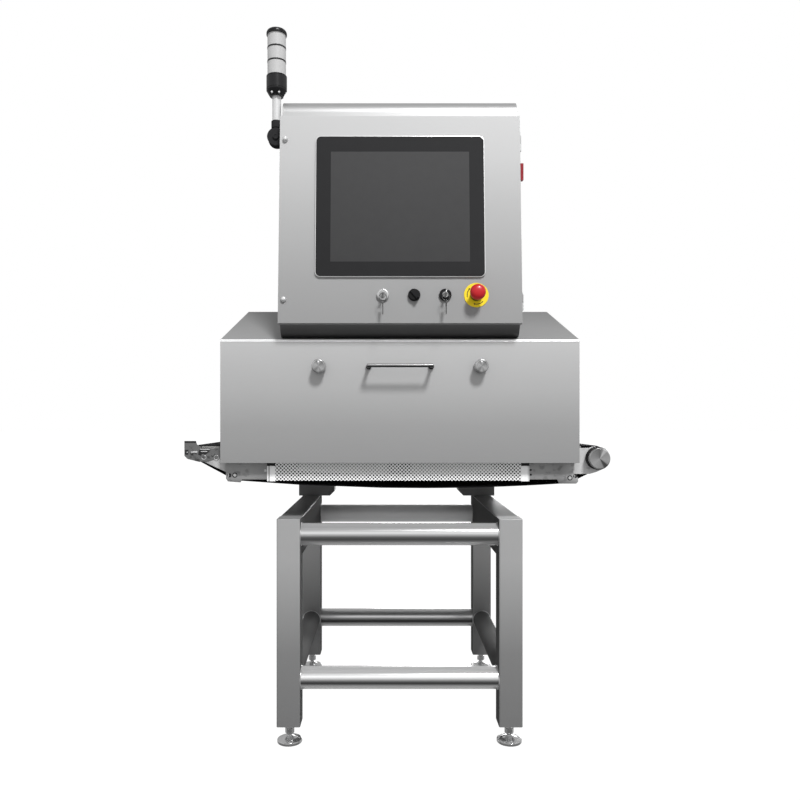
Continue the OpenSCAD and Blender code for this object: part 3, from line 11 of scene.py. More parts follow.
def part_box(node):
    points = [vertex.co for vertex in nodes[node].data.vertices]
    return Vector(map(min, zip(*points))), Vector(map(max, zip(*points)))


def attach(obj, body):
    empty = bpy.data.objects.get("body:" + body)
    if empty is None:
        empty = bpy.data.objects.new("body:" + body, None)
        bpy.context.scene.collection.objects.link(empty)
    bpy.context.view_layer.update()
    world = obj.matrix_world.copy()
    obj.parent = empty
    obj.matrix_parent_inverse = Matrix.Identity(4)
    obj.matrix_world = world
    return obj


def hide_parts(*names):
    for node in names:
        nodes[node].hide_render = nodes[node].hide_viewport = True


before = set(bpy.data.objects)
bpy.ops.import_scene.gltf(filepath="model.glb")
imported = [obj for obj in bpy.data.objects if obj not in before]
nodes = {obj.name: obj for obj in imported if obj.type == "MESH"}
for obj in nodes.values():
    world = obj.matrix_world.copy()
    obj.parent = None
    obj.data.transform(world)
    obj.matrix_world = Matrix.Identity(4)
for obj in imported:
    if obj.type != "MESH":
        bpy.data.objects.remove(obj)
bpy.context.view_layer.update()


# Camera: it stands level in front of the machine, a little under its middle, at the distance from
# which the cover and the legs have their widths in the picture. Every place below is counted in
# millimetres from the machine's middle, from the cover's face and from the floor.
cover_low, cover_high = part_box("front_cover")
home = Vector(((cover_low.x + cover_high.x) / 2, cover_low.y, 0))


def mm(x, y, z):
    """A point of the machine, from its place in millimetres."""
    return home + Vector((x, y, z)) / 1000


film_width = 36                             # in millimetres, and the rest in the picture's pixels
picture_width, focal_length = 800, 720
middle_column, eye_row = 387, 418           # where the camera's level axis meets the picture
camera = bpy.data.objects.new("camera", bpy.data.cameras.new("camera"))
camera.data.sensor_width = film_width
camera.data.lens = film_width * focal_length / picture_width
camera.data.shift_x = (picture_width / 2 - middle_column) / picture_width
camera.data.shift_y = (eye_row - picture_width / 2) / picture_width
camera.location = mm(-32, -1785, 833)
camera.rotation_euler = (math.radians(90), 0, 0)
bpy.context.scene.collection.objects.link(camera)
bpy.context.scene.camera = camera
bpy.context.scene.view_settings.view_transform = "Standard"


# Room: white behind the machine, and an even, plain light on it. What its metal mirrors is a
# bright strip low in front, a paler ceiling, a dark floor and a grey back wall.
class Wire:
    """A socket of a material. Sums and products of wires become Math nodes, and node() adds any
    other node: its settings are set first, then its inputs get their values or links."""

    def __init__(self, tree, socket=None):
        self.tree, self.socket = tree, socket

    def node(self, kind, settings, inputs, output=0):
        made = self.tree.nodes.new("ShaderNode" + kind)
        for name, value in settings.items():
            if name == "stops":
                while len(made.color_ramp.elements) < len(value):
                    made.color_ramp.elements.new(1.0)
                for element, (position, tone) in zip(made.color_ramp.elements, value):
                    element.position, element.color = position, (tone, tone, tone, 1)
            else:
                setattr(made, name, value)
        for name, value in inputs.items():
            if isinstance(value, Wire):
                self.tree.links.new(value.socket, made.inputs[name])
            else:
                made.inputs[name].default_value = value
        return Wire(self.tree, made.outputs[output] if made.outputs else None)

    def math(self, operation, *values):
        return self.node("Math", {"operation": operation}, dict(enumerate(values)))

    def __add__(self, other):
        return self.math("ADD", self, other)

    def __mul__(self, other):
        return self.math("MULTIPLY", self, other)

    def __sub__(self, other):
        return self.math("SUBTRACT", self, other)

    def __rsub__(self, other):
        return self.math("SUBTRACT", other, self)

    __radd__, __rmul__ = __add__, __mul__

    def between(self, low, high):
        """0 at low and 1 at high, with soft ends."""
        return self.node("MapRange", {"interpolation_type": "SMOOTHSTEP"},
                         {"Value": self, "From Min": low, "From Max": high})

    def along(self, axis):
        """One coordinate of a place or a direction."""
        return self.node("SeparateXYZ", {}, {"Vector": self}, axis)

    def ray(self, kind):
        """1 for rays of one kind: it serves the room and the floor alone."""
        return self.node("LightPath", {}, {}, "Is %s Ray" % kind)


fill, back_wall = 0.62, 0.5
world = bpy.data.worlds.new("studio")
world.use_nodes = True
world.node_tree.nodes.clear()
sky = Wire(world.node_tree)
seen = sky.ray("Camera") + sky.ray("Transmission")
mirrored = sky.ray("Glossy")
facing = sky.node("TexCoord", {}, {}, "Generated")
room = sky.node("ValToRGB", {"stops": [
    (0.0, 0.2), (0.1, 0.05), (0.28, 0.13), (0.44, 0.36), (0.6, 0.62), (0.7, 1.0), (0.79, 0.72),
    (0.95, 0.4), (1.0, 0.36)]}, {"Fac": 0.5 * facing.along("Z") + 0.5})
glossed = room + (back_wall - room) * facing.along("Y").between(0.0, 0.8)
strength = fill * (1 - seen) * (1 - mirrored) + seen + glossed * mirrored * (1 - seen)
surface = sky.node("Background", {}, {"Color": (1, 1, 1, 1), "Strength": strength})
sky.node("OutputWorld", {}, {"Surface": surface})
bpy.context.scene.world = world


# Floor: white to the camera with a trace of the machine's shadow, and a grey floor for the light
# that it gives back. Metal looks through it to the room.
floor_reach, floor_grey, floor_white, white_share = 40, 0.4, 1.07, 0.97
floor_mesh = bpy.data.meshes.new("floor")
plane = bmesh.new()
bmesh.ops.create_grid(plane, x_segments=1, y_segments=1, size=floor_reach)
plane.to_mesh(floor_mesh)
plane.free()
floor = bpy.data.objects.new("floor", floor_mesh)
bpy.context.scene.collection.objects.link(floor)
paint = bpy.data.materials.new("floor_paint")
paint.use_nodes = True
paint.node_tree.nodes.clear()
ground = Wire(paint.node_tree)
shown = ground.ray("Camera") + ground.ray("Transmission")
dull = ground.node("BsdfDiffuse", {}, {"Color": (floor_grey, floor_grey, floor_grey, 1)})
white = ground.node("Emission", {}, {"Color": (1, 1, 1, 1), "Strength": floor_white})
lit = ground.node("MixShader", {}, {0: white_share * shown, 1: dull, 2: white})
ground.node("OutputMaterial", {}, {"Surface": ground.node("MixShader", {}, {
    0: ground.ray("Glossy") * (1 - shown), 1: lit, 2: ground.node("BsdfTransparent", {}, {})})})
floor_mesh.materials.append(paint)


# Lamps: a soft key from above the operator's right shoulder, which throws the handle's and the
# switches' shadows down and left, and a low one behind the machine for the tubes' upper edges.
def sun(name, towards, size, strength):
    """A far soft lamp that shines from the direction towards; size is its width in degrees."""
    light = bpy.data.lights.new(name, "SUN")
    light.angle, light.energy = math.radians(size), strength
    far = bpy.data.objects.new(name, light)
    far.rotation_euler = Vector(towards).to_track_quat("Z", "Y").to_euler()
    bpy.context.scene.collection.objects.link(far)


sun("key", (0.35, -1, 1.15), 12, 3.5)
sun("rear", (0.2, 1, 0.08), 25, 0.9)


# Leg frame: square legs and top rails of satin stainless tube, sawn, welded and deburred along
# their edges. Brushing leaves long streaks that are a little lighter, darker and rougher than the
# sheet. The faces that look at one another are painted dark as painted shade, the legs are
# painted darker towards the floor as painted shade, and their broken edges are lighter as a painted
# highlight.
def metal(name, tone, rough, grain=(1, 1, 1), fade=None, metallic=0.55, streak=0.04, scuff=0.0,
          fan=None, low=None):
    """Brushed steel. fade is (axis, start, end, [(place, share)...]), a tone that changes along an
    axis, with which shade, reflections and highlights are painted; fan is (centre, [(turn,
    share)...])
    as seen from the operator's side, a reflection painted round a turned face; low is (start, end,
    share), painted shade that darkens a low edge."""
    made = bpy.data.materials.new(name)
    made.use_nodes = True
    made.node_tree.nodes.clear()
    wire = Wire(made.node_tree)
    place = wire.node("TexCoord", {}, {}, "Object")
    stretched = wire.node("Mapping", {}, {"Vector": place, "Scale": [2400 * s for s in grain]})
    lines = wire.node("TexNoise", {}, {"Vector": stretched, "Scale": 1.0, "Detail": 3.0})
    cloud = wire.node("TexNoise", {}, {"Vector": place, "Scale": 7.0, "Detail": 2.0})
    shade = 1 - streak + 2 * streak * lines + 0.6 * streak * cloud
    if fade:
        axis, start, end, shares = fade
        reach = (place.along(axis) - start) * (1 / (end - start))
        shade = shade * wire.node("ValToRGB", {"stops": shares}, {"Fac": reach})
    if low:
        start, end, share = low
        shade = shade * (share + (1 - share) * place.along("Z").between(start, end))
    if scuff:
        marks = wire.node("TexNoise", {}, {"Vector": place, "Scale": 60.0, "Detail": 6.0})
        shade = shade * (1 - scuff * marks.between(0.52, 0.66))
    if fan:
        centre, shares = fan
        across, above = place.along("X") - centre.x, place.along("Z") - centre.z
        turn = wire.math("ARCTAN2", across, above) * (0.5 / math.pi) + 0.5
        shade = shade * wire.node("ValToRGB", {"stops": shares}, {"Fac": turn})
    colour = wire.node("Mix", {"data_type": "RGBA", "blend_type": "MULTIPLY"}, {
        0: 1.0, 6: (tone, tone * 1.002, tone * 1.006, 1), 7: shade}, 2)
    surface = wire.node("BsdfPrincipled", {}, {
        "Base Color": colour, "Metallic": metallic, "Roughness": rough + 0.1 * lines - 0.05,
        "Specular IOR Level": 0.3,
        "Normal": wire.node("Bump", {}, {"Strength": 0.02, "Distance": 0.0004, "Height": lines})})
    wire.node("OutputMaterial", {}, {"Surface": surface})
    return made


def finished(name, mesh, body, slot, *replaced):
    """Puts a finished mesh in the scene: its body carries it, and it stands for CAD nodes."""
    made = bpy.data.objects.new(name, mesh)
    bpy.context.scene.collection.objects.link(made)
    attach(made, body)
    if replaced:
        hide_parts(*replaced)
    return made


def settled(shape, name, *materials, sharp=40):
    """A mesh from a bmesh: doubles merged, smooth but for its sharp edges."""
    bmesh.ops.remove_doubles(shape, verts=shape.verts, dist=1e-6)
    for face in shape.faces:
        face.smooth = True
    mesh = bpy.data.meshes.new(name)
    shape.to_mesh(mesh)
    shape.free()
    mesh.set_sharp_from_angle(angle=math.radians(sharp))
    for material in materials:
        mesh.materials.append(material)
    return mesh


def eased(name, node, body, slot, material, width=0.0008, segments=2, angle=32, rims=None):
    """A copy of a CAD node with its sharp edges broken, as a deburred sheet or casting has. rims
    is a lighter material for the broken edges, which paints a highlight along them."""
    shape = bmesh.new()
    shape.from_mesh(nodes[node].data)
    bmesh.ops.remove_doubles(shape, verts=shape.verts, dist=1e-5)
    bmesh.ops.dissolve_limit(shape, angle_limit=math.radians(1.5), verts=shape.verts,
                             edges=shape.edges)
    edges = [e for e in shape.edges if e.is_manifold and e.calc_face_angle(0) > math.radians(angle)]
    broken = bmesh.ops.bevel(shape, geom=edges, offset=width, segments=segments, profile=0.5,
                             affect="EDGES", clamp_overlap=True, material=-1)["faces"]
    for face in shape.faces:
        face.material_index = 0
    for face in broken if rims else ():
        face.material_index = 1
    made = finished(name, settled(shape, name, *[m for m in (material, rims) if m]), body, slot,
                    node)
    made.modifiers.new("weighted", "WEIGHTED_NORMAL").keep_sharp = True
    return made


def painted(piece, material, held):
    """Gives a material to the faces of a piece whose middles, in millimetres, are held."""
    piece.data.materials.append(material)
    for face in piece.data.polygons:
        if held(*((face.center - home) * 1000)):
            face.material_index = len(piece.data.materials) - 1


deburr = 0.0014
leg_foot, leg_top = 0.05, 0.576
inner_face = 253                            # just outside the legs' inner faces
past_middle, rear_face = 500, 601           # between these lie the rear legs' front faces
# painted highlight: a lighter steel for the legs' broken edges
rim_highlight_steel = metal("rim_highlight_steel", 0.62, 0.35, metallic=0.3)
# painted shade: a dark steel for faces of the legs and rails that look at one another
inner_shade_steel = metal("inner_shade_steel", 0.045, 0.85, (1, 1, 0.02), metallic=0.1)
# painted shade: the leg steel is painted darker towards the floor
legs = eased("leg_tubes", "legs", "machine", "frame_steel",
             metal("leg_steel", 0.45, 0.4, (1, 1, 0.02), ("Z", leg_foot, leg_top, [
                 (0.0, 0.52), (0.35, 0.6), (0.62, 0.86), (0.8, 1.0), (1.0, 1.0)])),
             deburr, rims=rim_highlight_steel)
# painted light: a lighter copy of the leg steel on the rear legs' front faces, which lie in shade
painted(legs, metal("rear_leg", 0.55, 0.4, (1, 1, 0.02), ("Z", leg_foot, leg_top, [
    (0.0, 0.36), (0.35, 0.5), (0.62, 0.8), (0.8, 0.95), (1.0, 1.0)])),
        lambda x, y, z: past_middle < y < rear_face and abs(x) > inner_face)
painted(legs, inner_shade_steel, lambda x, y, z: abs(x) < inner_face)
rails = eased("side_rails", "top_rails", "machine", "frame_steel",
              metal("rail_steel", 0.32, 0.45, (1, 0.02, 1)), deburr)
painted(rails, inner_shade_steel, lambda x, y, z: abs(x) < inner_face)


# Weld beads: a ring of weld round each end of the cross and side tubes, where they meet the legs.
# They are hand-laid stainless, left as welded, so they ripple and are a little darker.
def added(shape, part, place, material=0):
    """Puts a part drawn in millimetres into a larger mesh, at place."""
    part.normal_update()
    bmesh.ops.recalc_face_normals(part, faces=part.faces)
    bmesh.ops.transform(part, matrix=place @ Matrix.Scale(0.001, 4), verts=part.verts)
    for face in part.faces:
        face.material_index = material
    drawn = bpy.data.meshes.new("part")
    part.to_mesh(drawn)
    part.free()
    shape.from_mesh(drawn)
    bpy.data.meshes.remove(drawn)


def turned(shape, profile, place, steps=48, material=0):
    """Adds a solid turned about the Z axis of place; profile holds (radius, height) pairs."""
    part = bmesh.new()
    verts = [part.verts.new((radius, 0, height)) for radius, height in profile]
    edges = [part.edges.new(pair) for pair in zip(verts, verts[1:])]
    bmesh.ops.spin(part, geom=verts + edges, angle=math.tau, steps=steps, axis=(0, 0, 1),
                   cent=(0, 0, 0), use_merge=True)
    bmesh.ops.remove_doubles(part, verts=part.verts, dist=1e-4)
    added(shape, part, place, material)


def ring(radius, wire, height=0.0, count=8):
    """The closed profile of a round bar bent into a ring."""
    return [(radius + wire * math.cos(math.tau * i / count),
             height + wire * math.sin(math.tau * i / count)) for i in range(count + 1)]


# Pieces are drawn as the operator sees them: across, up, and raised towards the operator
toward = Matrix.Rotation(math.radians(90), 4, "X")
aside = Matrix.Rotation(math.radians(90), 4, "Y")


def at(x, y, z, turn=Matrix()):
    return Matrix.Translation(mm(x, y, z)) @ turn


cross_end, front_tube, rear_tube = 252.6, 70, 630
side_tube, side_ends = 282.5, (100.1, 599.9)
upper_front, upper_rear, lower = 534, 514, 165
bead_radius, bead, bead_steps, ripple = 28.6, 1.7, 64, 0.0003
weld = bmesh.new()
for x in (-cross_end, cross_end):
    for y, z in ((front_tube, upper_front), (rear_tube, upper_rear),
                 (front_tube, lower), (rear_tube, lower)):
        turned(weld, ring(bead_radius, bead), at(x, y, z, aside), bead_steps)
for x in (-side_tube, side_tube):
    for y in side_ends:
        turned(weld, ring(bead_radius, bead), at(x, y, lower, toward), bead_steps)
for i, vert in enumerate(weld.verts):
    vert.co += ripple * math.sin(i * 0.9) * Vector((math.sin(i), math.cos(i), math.sin(i * 0.7)))
finished("weld_beads", settled(weld, "weld_beads", metal("weld_steel", 0.42, 0.34, scuff=0.3)),
         "machine", "frame_steel")


# Cross and side tubes: round stainless tube, polished, with bright and dark bands along its length
# painted as a reflection of the room. The upper rear tubes are duller and plain, and the side
# tubes are duller, their inner sides painted dark as painted shade.
def tube_steel(name, z, tone, dark):
    """Polished tube with its axis at height z, with bright and dark bands painted round the axis as
    a reflection.
    """
    radius = 28.5
    return metal(name, tone, 0.16, (0.02, 1, 1), ("Z", (z - radius) / 1000, (z + radius) / 1000, [
        (0.0, 1.0), (0.14, 0.9), (0.24, 0.45), (0.3, dark + 0.03), (0.36, dark), (0.44, 0.26),
        (0.54, 0.7), (0.62, 0.95), (0.68, 0.7), (0.76, 0.5), (0.86, 0.7), (1.0, 1.0)]))


halfway_up, halfway_back, side_outer = 300, 300, 303
lower_bands = 169                           # seen from above, they lie higher than the axes
tubes = eased("cross_tubes", "frame_tubes", "machine", "bare_steel",
              tube_steel("tube_low", lower_bands, 0.9, 0.08), 0.0004)
painted(tubes, tube_steel("tube_front", upper_front, 0.7, 0.17),
        lambda x, y, z: z > halfway_up and y < halfway_back)
painted(tubes, metal("tube_rear", 0.78, 0.45, (0.02, 1, 1), metallic=0.3),
        lambda x, y, z: z > halfway_up and y > halfway_back)
# painted shade: a dark, dull steel on the side tubes' inner sides
painted(tubes, metal("tube_side_shade", 0.07, 0.9, (1, 0.02, 1), metallic=0),
        lambda x, y, z: z < halfway_up and inner_face < abs(x) < side_outer)


# Cabinet brackets: two boxes of thick folded steel, blackened and bolted on the frame's rear
# corners. The cabinet's rear housing rests on them.
eased("cabinet_brackets", "mounting_brackets", "machine", "frame_steel",
      metal("bracket_steel", 0.17, 0.5), 0.0012)


# Levelling feet: turned pads on threaded studs with jam nuts, of polished stainless, screwed into
# the leg ends.
chrome = metal("chrome", 0.62, 0.13, metallic=0.92, streak=0.08)
for corner in ("front_left", "front_right", "rear_left", "rear_right"):
    eased("level_foot_" + corner, "foot_" + corner, "foot_" + corner, "polished", chrome, 0.0008)


# Roof: brushed stainless sheet that falls from the ridge to the front, bent and welded to the end
# walls. It is painted darker towards the ridge as painted shade. A rolled hem along its front edge
# catches the light, and its near-white steel adds a painted highlight.
def bar(radius, low, high):
    """The profile of a round bar that reaches from low to high."""
    return [(0, low), (radius, low), (radius, high), (0, high)]


front, ridge = mm(0, 0, 0).y, mm(0, 365, 0).y
hem_end, hem_back, hem_steps = 445, 0.3, 16
roof_edge = 1026.2
eased("roof_sheet", "roof", "machine", "stainless",
      metal("roof_steel", 0.23, 0.5, (0.02, 1, 1), ("Y", front, ridge, [
          (0.0, 1.0), (0.35, 0.92), (1.0, 0.66)]), metallic=0.05), 0.0009)
# painted highlight: near-white steel for the hems' bright line; the knobs' turn dots are of it too
hem_highlight_and_dot_steel = metal("hem_highlight_and_dot_steel", 0.95, 0.3, (0.02, 1, 1), metallic=0.2)
hem = bmesh.new()
turned(hem, bar(1.6, -hem_end, hem_end), at(0, hem_back, roof_edge, aside), hem_steps)
finished("roof_hem", settled(hem, "roof_hem", hem_highlight_and_dot_steel), "machine", "stainless")


# Casing: end walls, tunnel hood and rear housing of brushed stainless sheet, folded, welded and
# ground along their edges. A service panel with a crosswise grain is screwed over the back.
casing_steel = metal("casing_steel", 0.5, 0.4, (1, 1, 0.02))
eased("cabinet_ends", "end_walls", "machine", "stainless", casing_steel, 0.0006)
eased("hood_sheet", "tunnel_hood", "machine", "stainless", casing_steel, 0.0006)
eased("housing_box", "rear_housing", "machine", "stainless", casing_steel, 0.0010)
eased("rear_panel", "rear_cover", "machine", "stainless",
      metal("panel_steel", 0.46, 0.38, (0.02, 1, 1)), 0.0006)


# Front cover: a tray folded from brushed stainless sheet, which drops down about its lower edge.
# It has a hem like the roof's along its upper edge, and a lead sheet is bonded to its back.
cover_edge, cover_span = 1023.2, (0.7214, 1.0246)
# painted shade: the cover is painted darker towards its lower edge
eased("cover_tray", "front_cover", "cover", "stainless",
      metal("cover_steel", 0.48, 0.42, (0.02, 1, 1), ("Z", *cover_span, [
          (0.0, 0.6), (0.3, 0.67), (0.6, 0.84), (1.0, 1.0)]), metallic=0.35), 0.0012)
rim = bmesh.new()
turned(rim, bar(1.4, -hem_end, hem_end), at(0, hem_back, cover_edge, aside), hem_steps)
finished("cover_hem", settled(rim, "cover_hem", hem_highlight_and_dot_steel), "cover", "stainless")
eased("lead_lining", "cover_lining", "cover", "lead",
      metal("lead_sheet", 0.2, 0.6, metallic=0.3), 0.0005)


# Bar handle: a polished stainless rod, bent twice and screwed through its two feet to the cover.
# A dark line under a bright one is painted along it as a reflection of the room.
grip_height, grip_radius = 960, 4.5
grip_span = ((grip_height - grip_radius) / 1000, (grip_height + grip_radius) / 1000)
eased("bar_handle", "cover_handle", "cover", "polished",
      metal("handle_painted_bands", 0.55, 0.2, metallic=0.85, fade=("Z", *grip_span, [
          (0.0, 0.12), (0.3, 0.1), (0.5, 0.5), (0.72, 1.0), (0.85, 0.4), (1.0, 0.5)])), 0.0006)


# Cover knobs: turned from stainless bar, with a groove round them, a dot that shows their turn
# and a shaft through the cover, which ends in the cross bar that locks it.
def slab(shape, outline, thick, place, ease=0.0, material=0, start=0.0):
    """Adds a plate: an outline in the XY plane of place, raised from start by thick along its Z."""
    part = bmesh.new()
    base = part.faces.new([part.verts.new((x, y, start)) for x, y in outline])
    grown = bmesh.ops.extrude_face_region(part, geom=[base])["geom"]
    bmesh.ops.translate(part, vec=(0, 0, thick), verts=[v for v in grown if hasattr(v, "co")])
    if ease:
        rims = [e for e in part.edges if e.calc_face_angle(0) > 0.6]
        bmesh.ops.bevel(part, geom=rims, offset=ease, segments=2, profile=0.5, affect="EDGES",
                        clamp_overlap=True, material=-1)
    added(shape, part, place, material)


def rect(x0, y0, x1, y1):
    return [(x0, y0), (x1, y0), (x1, y1), (x0, y1)]


knob_out, knob_height, shaft_end, dot_up = 199.5, 960, -32.5, 10.5
for side, x in (("left", -knob_out), ("right", knob_out)):
    knob = bmesh.new()
    axis = at(x, 0, knob_height, toward)
    turned(knob, [(0, shaft_end), (5, shaft_end), (5, 2), (9, 2), (15, 2.2), (16.6, 3.4), (17, 5),
                  (17, 10.5), (16.2, 11.3), (16.2, 12.7), (17, 13.5), (17, 27.6), (16.4, 29.2),
                  (15, 30), (12.2, 30), (11.6, 29.3), (0, 29.3)], axis, 64)
    slab(knob, rect(-4, -12, 4, 12), 4, axis, 0.6, 0, shaft_end)
    turned(knob, [(0, 27), (1.9, 27), (1.9, 29.9), (0, 29.9)],
           at(x, 0, knob_height + dot_up, toward), 12, 1)
    # painted reflection: light and dark sectors round the knob's middle, as its turned face mirrors
    knob_painted_fan = metal("knob_steel_" + side, 0.46, 0.26, metallic=0.6, fan=(mm(x, 0, knob_height), [
        (0.0, 0.9), (0.1, 0.45), (0.2, 0.85), (0.33, 1.0), (0.45, 0.6), (0.52, 1.0), (0.62, 0.5),
        (0.75, 0.8), (0.86, 1.0), (0.94, 0.6), (1.0, 0.9)]))
    finished("cover_knob_turned_" + side,
             settled(knob, "cover_knob_turned_" + side, knob_painted_fan, hem_highlight_and_dot_steel),
             "knob_" + side, "polished", "cover_knob_" + side)


# Tunnel: a polished rod in tabs at each of its ends, and on it a curtain of lead rubber, slit into
# strips. The painted x-ray tank stands over the belt, and the detector's box lies under it.
def plastic(name, colour, rough, shine=0.3, coat=0.0, grain=0.02):
    """Moulded plastic, rubber or enamel, with fine pores and a slight cloud in its colour."""
    made = bpy.data.materials.new(name)
    made.use_nodes = True
    made.node_tree.nodes.clear()
    wire = Wire(made.node_tree)
    place = wire.node("TexCoord", {}, {}, "Object")
    pores = wire.node("TexNoise", {}, {"Vector": place, "Scale": 1500.0, "Detail": 2.0})
    cloud = wire.node("TexNoise", {}, {"Vector": place, "Scale": 40.0, "Detail": 2.0})
    tint = wire.node("Mix", {"data_type": "RGBA", "blend_type": "MULTIPLY"}, {
        0: 1.0, 6: (*colour, 1), 7: 0.95 + 0.1 * cloud}, 2)
    surface = wire.node("BsdfPrincipled", {}, {
        "Base Color": tint, "Roughness": rough + 0.08 * cloud - 0.04, "Coat Weight": coat,
        "Specular IOR Level": shine,
        "Normal": wire.node("Bump", {}, {"Strength": grain, "Distance": 0.0003, "Height": pores})})
    wire.node("OutputMaterial", {}, {"Surface": surface})
    return made


polish = metal("polished_steel", 0.75, 0.16, metallic=0.85)
eased("rod_bars", "curtain_rods", "machine", "bare_steel", polish, 0.0004)
for side in ("left", "right"):
    eased("curtain_strips_" + side, "curtain_" + side, "curtain_at_" + side, "curtain_rubber",
          plastic("curtain_rubber_" + side, (0.045, 0.045, 0.046), 0.7, 0.2), 0.0003)
eased("tube_tank", "xray_source", "machine", "electronics",
      plastic("tank_paint", (0.42, 0.4, 0.33), 0.45), 0.0012)
# painted shade: the detector's box is nearly black, for the shade seen through the guard's holes
eased("line_detector", "detector", "machine", "electronics",
      plastic("detector_shade_black", (0.05, 0.05, 0.052), 0.5), 0.0008)


# Head: a shell wrapped from one stainless sheet, rounded above and below in front, welded and
# screwed to the roof. Rubber seals line its opening, and zinc-plated boxes are bolted inside.
shell_span = (1.03, 1.64)
# painted shade: dark along the shell's lower bend under the door, and darker along its top
eased("head_case", "head_shell", "machine", "stainless",
      metal("shell_steel", 0.43, 0.36, (1, 1, 0.02), ("Z", *shell_span, [
          (0.0, 0.055), (0.05, 0.4), (0.1, 1.0), (0.9, 1.0), (0.95, 0.9), (1.0, 0.75)])), 0.0006)
eased("seal_strips", "head_seals", "machine", "seal_rubber",
      plastic("seal_rubber", (0.02, 0.02, 0.02), 0.75, 0.2), 0.0004)
eased("head_boxes", "head_electronics", "machine", "electronics",
      metal("box_zinc", 0.4, 0.5, metallic=0.4), 0.0015)
eased("hinge_leaves", "door_hinge_leaves", "machine", "bare_steel", polish, 0.0004)


# Door: a tray folded from satin stainless sheet, with ground edges, which leans back and hinges
# on the head's right edge. All that is set into it is placed across and up from its lower edge.
door_reach, door_low, lean, door_span = 40, 1063, 4.41, (1.063, 1.582)
# painted shade: the door is painted darker towards its lower edge
eased("door_tray", "door", "door", "stainless",
      metal("door_steel", 0.44, 0.55, (1, 1, 0.02), ("Z", *door_span, [
          (0.0, 0.55), (0.2, 0.62), (0.55, 0.8), (0.8, 0.95), (1.0, 1.0)]), metallic=0.1), 0.0009)
on_door = at(0, -door_reach, door_low) @ Matrix.Rotation(math.radians(-lean), 4, "X") @ toward


def door_at(x, up):
    return on_door @ Matrix.Translation(Vector((x, up, 0)) / 1000)


# Door latches: turned stainless studs with domed heads on stems through the door. Each ends in a
# cam that turns behind the head's edge.
latch_x = -283.5
stud_steel = metal("stud_steel", 0.6, 0.3, metallic=0.5)
for name, body, up in (("lower", "latch_low", 58.2), ("upper", "latch_high", 459.9)):
    latch = bmesh.new()
    turned(latch, [(0, -29), (4, -29), (4, 0), (7, 0), (7, 2.4), (6.4, 4.2), (5.2, 6.4), (3.9, 7.6),
                   (2.4, 8), (0, 8)], door_at(latch_x, up), 40)
    slab(latch, rect(-3, -8.5, 3, 0), 3, door_at(latch_x, up), 0.4, 0, -29.3)
    finished("latch_stud_" + name, settled(latch, "latch_stud_" + name, stud_steel), body,
             "polished", "latch_" + name)


# Monitor: a moulded black bezel with a thin lighter rim round it, a painted highlight along its
# edge, set into the door, before a painted steel case with vent slots. Its display is dark and
# shows nothing.
def rounded(x0, y0, x1, y1, r, count=8):
    """A rectangle with round corners."""
    corners = ((x1 - r, y0 + r, -90), (x1 - r, y1 - r, 0), (x0 + r, y1 - r, 90),
               (x0 + r, y0 + r, 180))
    return [(x + r * math.cos(a), y + r * math.sin(a)) for x, y, turn in corners
            for a in [math.radians(turn + 90 * i / count) for i in range(count + 1)]]


case_depth, slot_rows, slot_low, slot_pitch, slot_width = 62, 9, 200, 18, 6
black = plastic("bezel_black", (0.026, 0.026, 0.027), 0.7, 0.03)
bezel_highlight = metal("trim_steel", 0.6, 0.3, metallic=0.3)
case_paint = metal("monitor_case", 0.2, 0.5)
monitor = bmesh.new()
slab(monitor, rounded(-208, 112.9, 208, 466.9, 13.6), 5.2, door_at(0, 0), 0.5, 1)
slab(monitor, rounded(-205.9, 114.3, 205.9, 465.2, 11.8), 5.9, door_at(0, 0), 0.4)
slab(monitor, rect(-187, 137.5, 187, 445), case_depth, door_at(0, 0), 1.5, 2, -case_depth)
for row in range(slot_rows):
    up = slot_low + slot_pitch * row
    slab(monitor, rect(-120, up, 120, up + slot_width), 0.6, door_at(0, 0), 0, 0,
         -case_depth - 0.2)
finished("monitor", settled(monitor, "monitor", black, bezel_highlight, case_paint), "door", "grey_plastic",
         "monitor_body")
glass = bmesh.new()
slab(glass, rect(-170, 150.4, 170, 426.4), 2, door_at(0, 0), 0.25, 0, 4)
dark_glass = plastic("display_glass", (0.056, 0.056, 0.057), 0.6, 0.02, grain=0)
finished("display", settled(glass, "display", dark_glass), "door", "screen", "screen_glass")


# Switches: key lock, selector and second key lock, each in a chamfered ring with a threaded
# barrel through the door. The left ring is chromed, the others and the stop's neck are black.
switch_up, stop_x, barrel_end = 68.7, 185, -34
chrome_ring = metal("ring_steel", 0.5, 0.25, metallic=0.75, streak=0.3, scuff=0.6)
gloss = plastic("gloss_black", (0.004, 0.004, 0.005), 0.12, 0.3)
switches = bmesh.new()
for x, tone in ((-42, 1), (34, 0), (109.5, 0)):
    turned(switches, [(7.6, -12), (11, -12), (11, 0), (15, 0), (15, 5), (14.6, 6), (13.6, 6.8),
                      (12.4, 7), (9.6, 7), (9, 6.4), (7.6, 6.4), (7.6, -12)],
           door_at(x, switch_up), 48, tone)
    turned(switches, [(0, barrel_end), (10, barrel_end), (10, -30), (11, -30), (11, -12), (0, -12)],
           door_at(x, switch_up), 32)
turned(switches, [(0, 2), (15, 2), (15, 12.5), (13.6, 14), (8, 14), (6.1, 13), (6.1, 2)],
       door_at(stop_x, switch_up), 48)
turned(switches, [(6.1, 2), (11, 2), (11, barrel_end), (0, barrel_end)],
       door_at(stop_x, switch_up), 32)
finished("switch_rings", settled(switches, "switch_rings", gloss, chrome_ring), "door",
         "black_plastic", "switch_bodies")


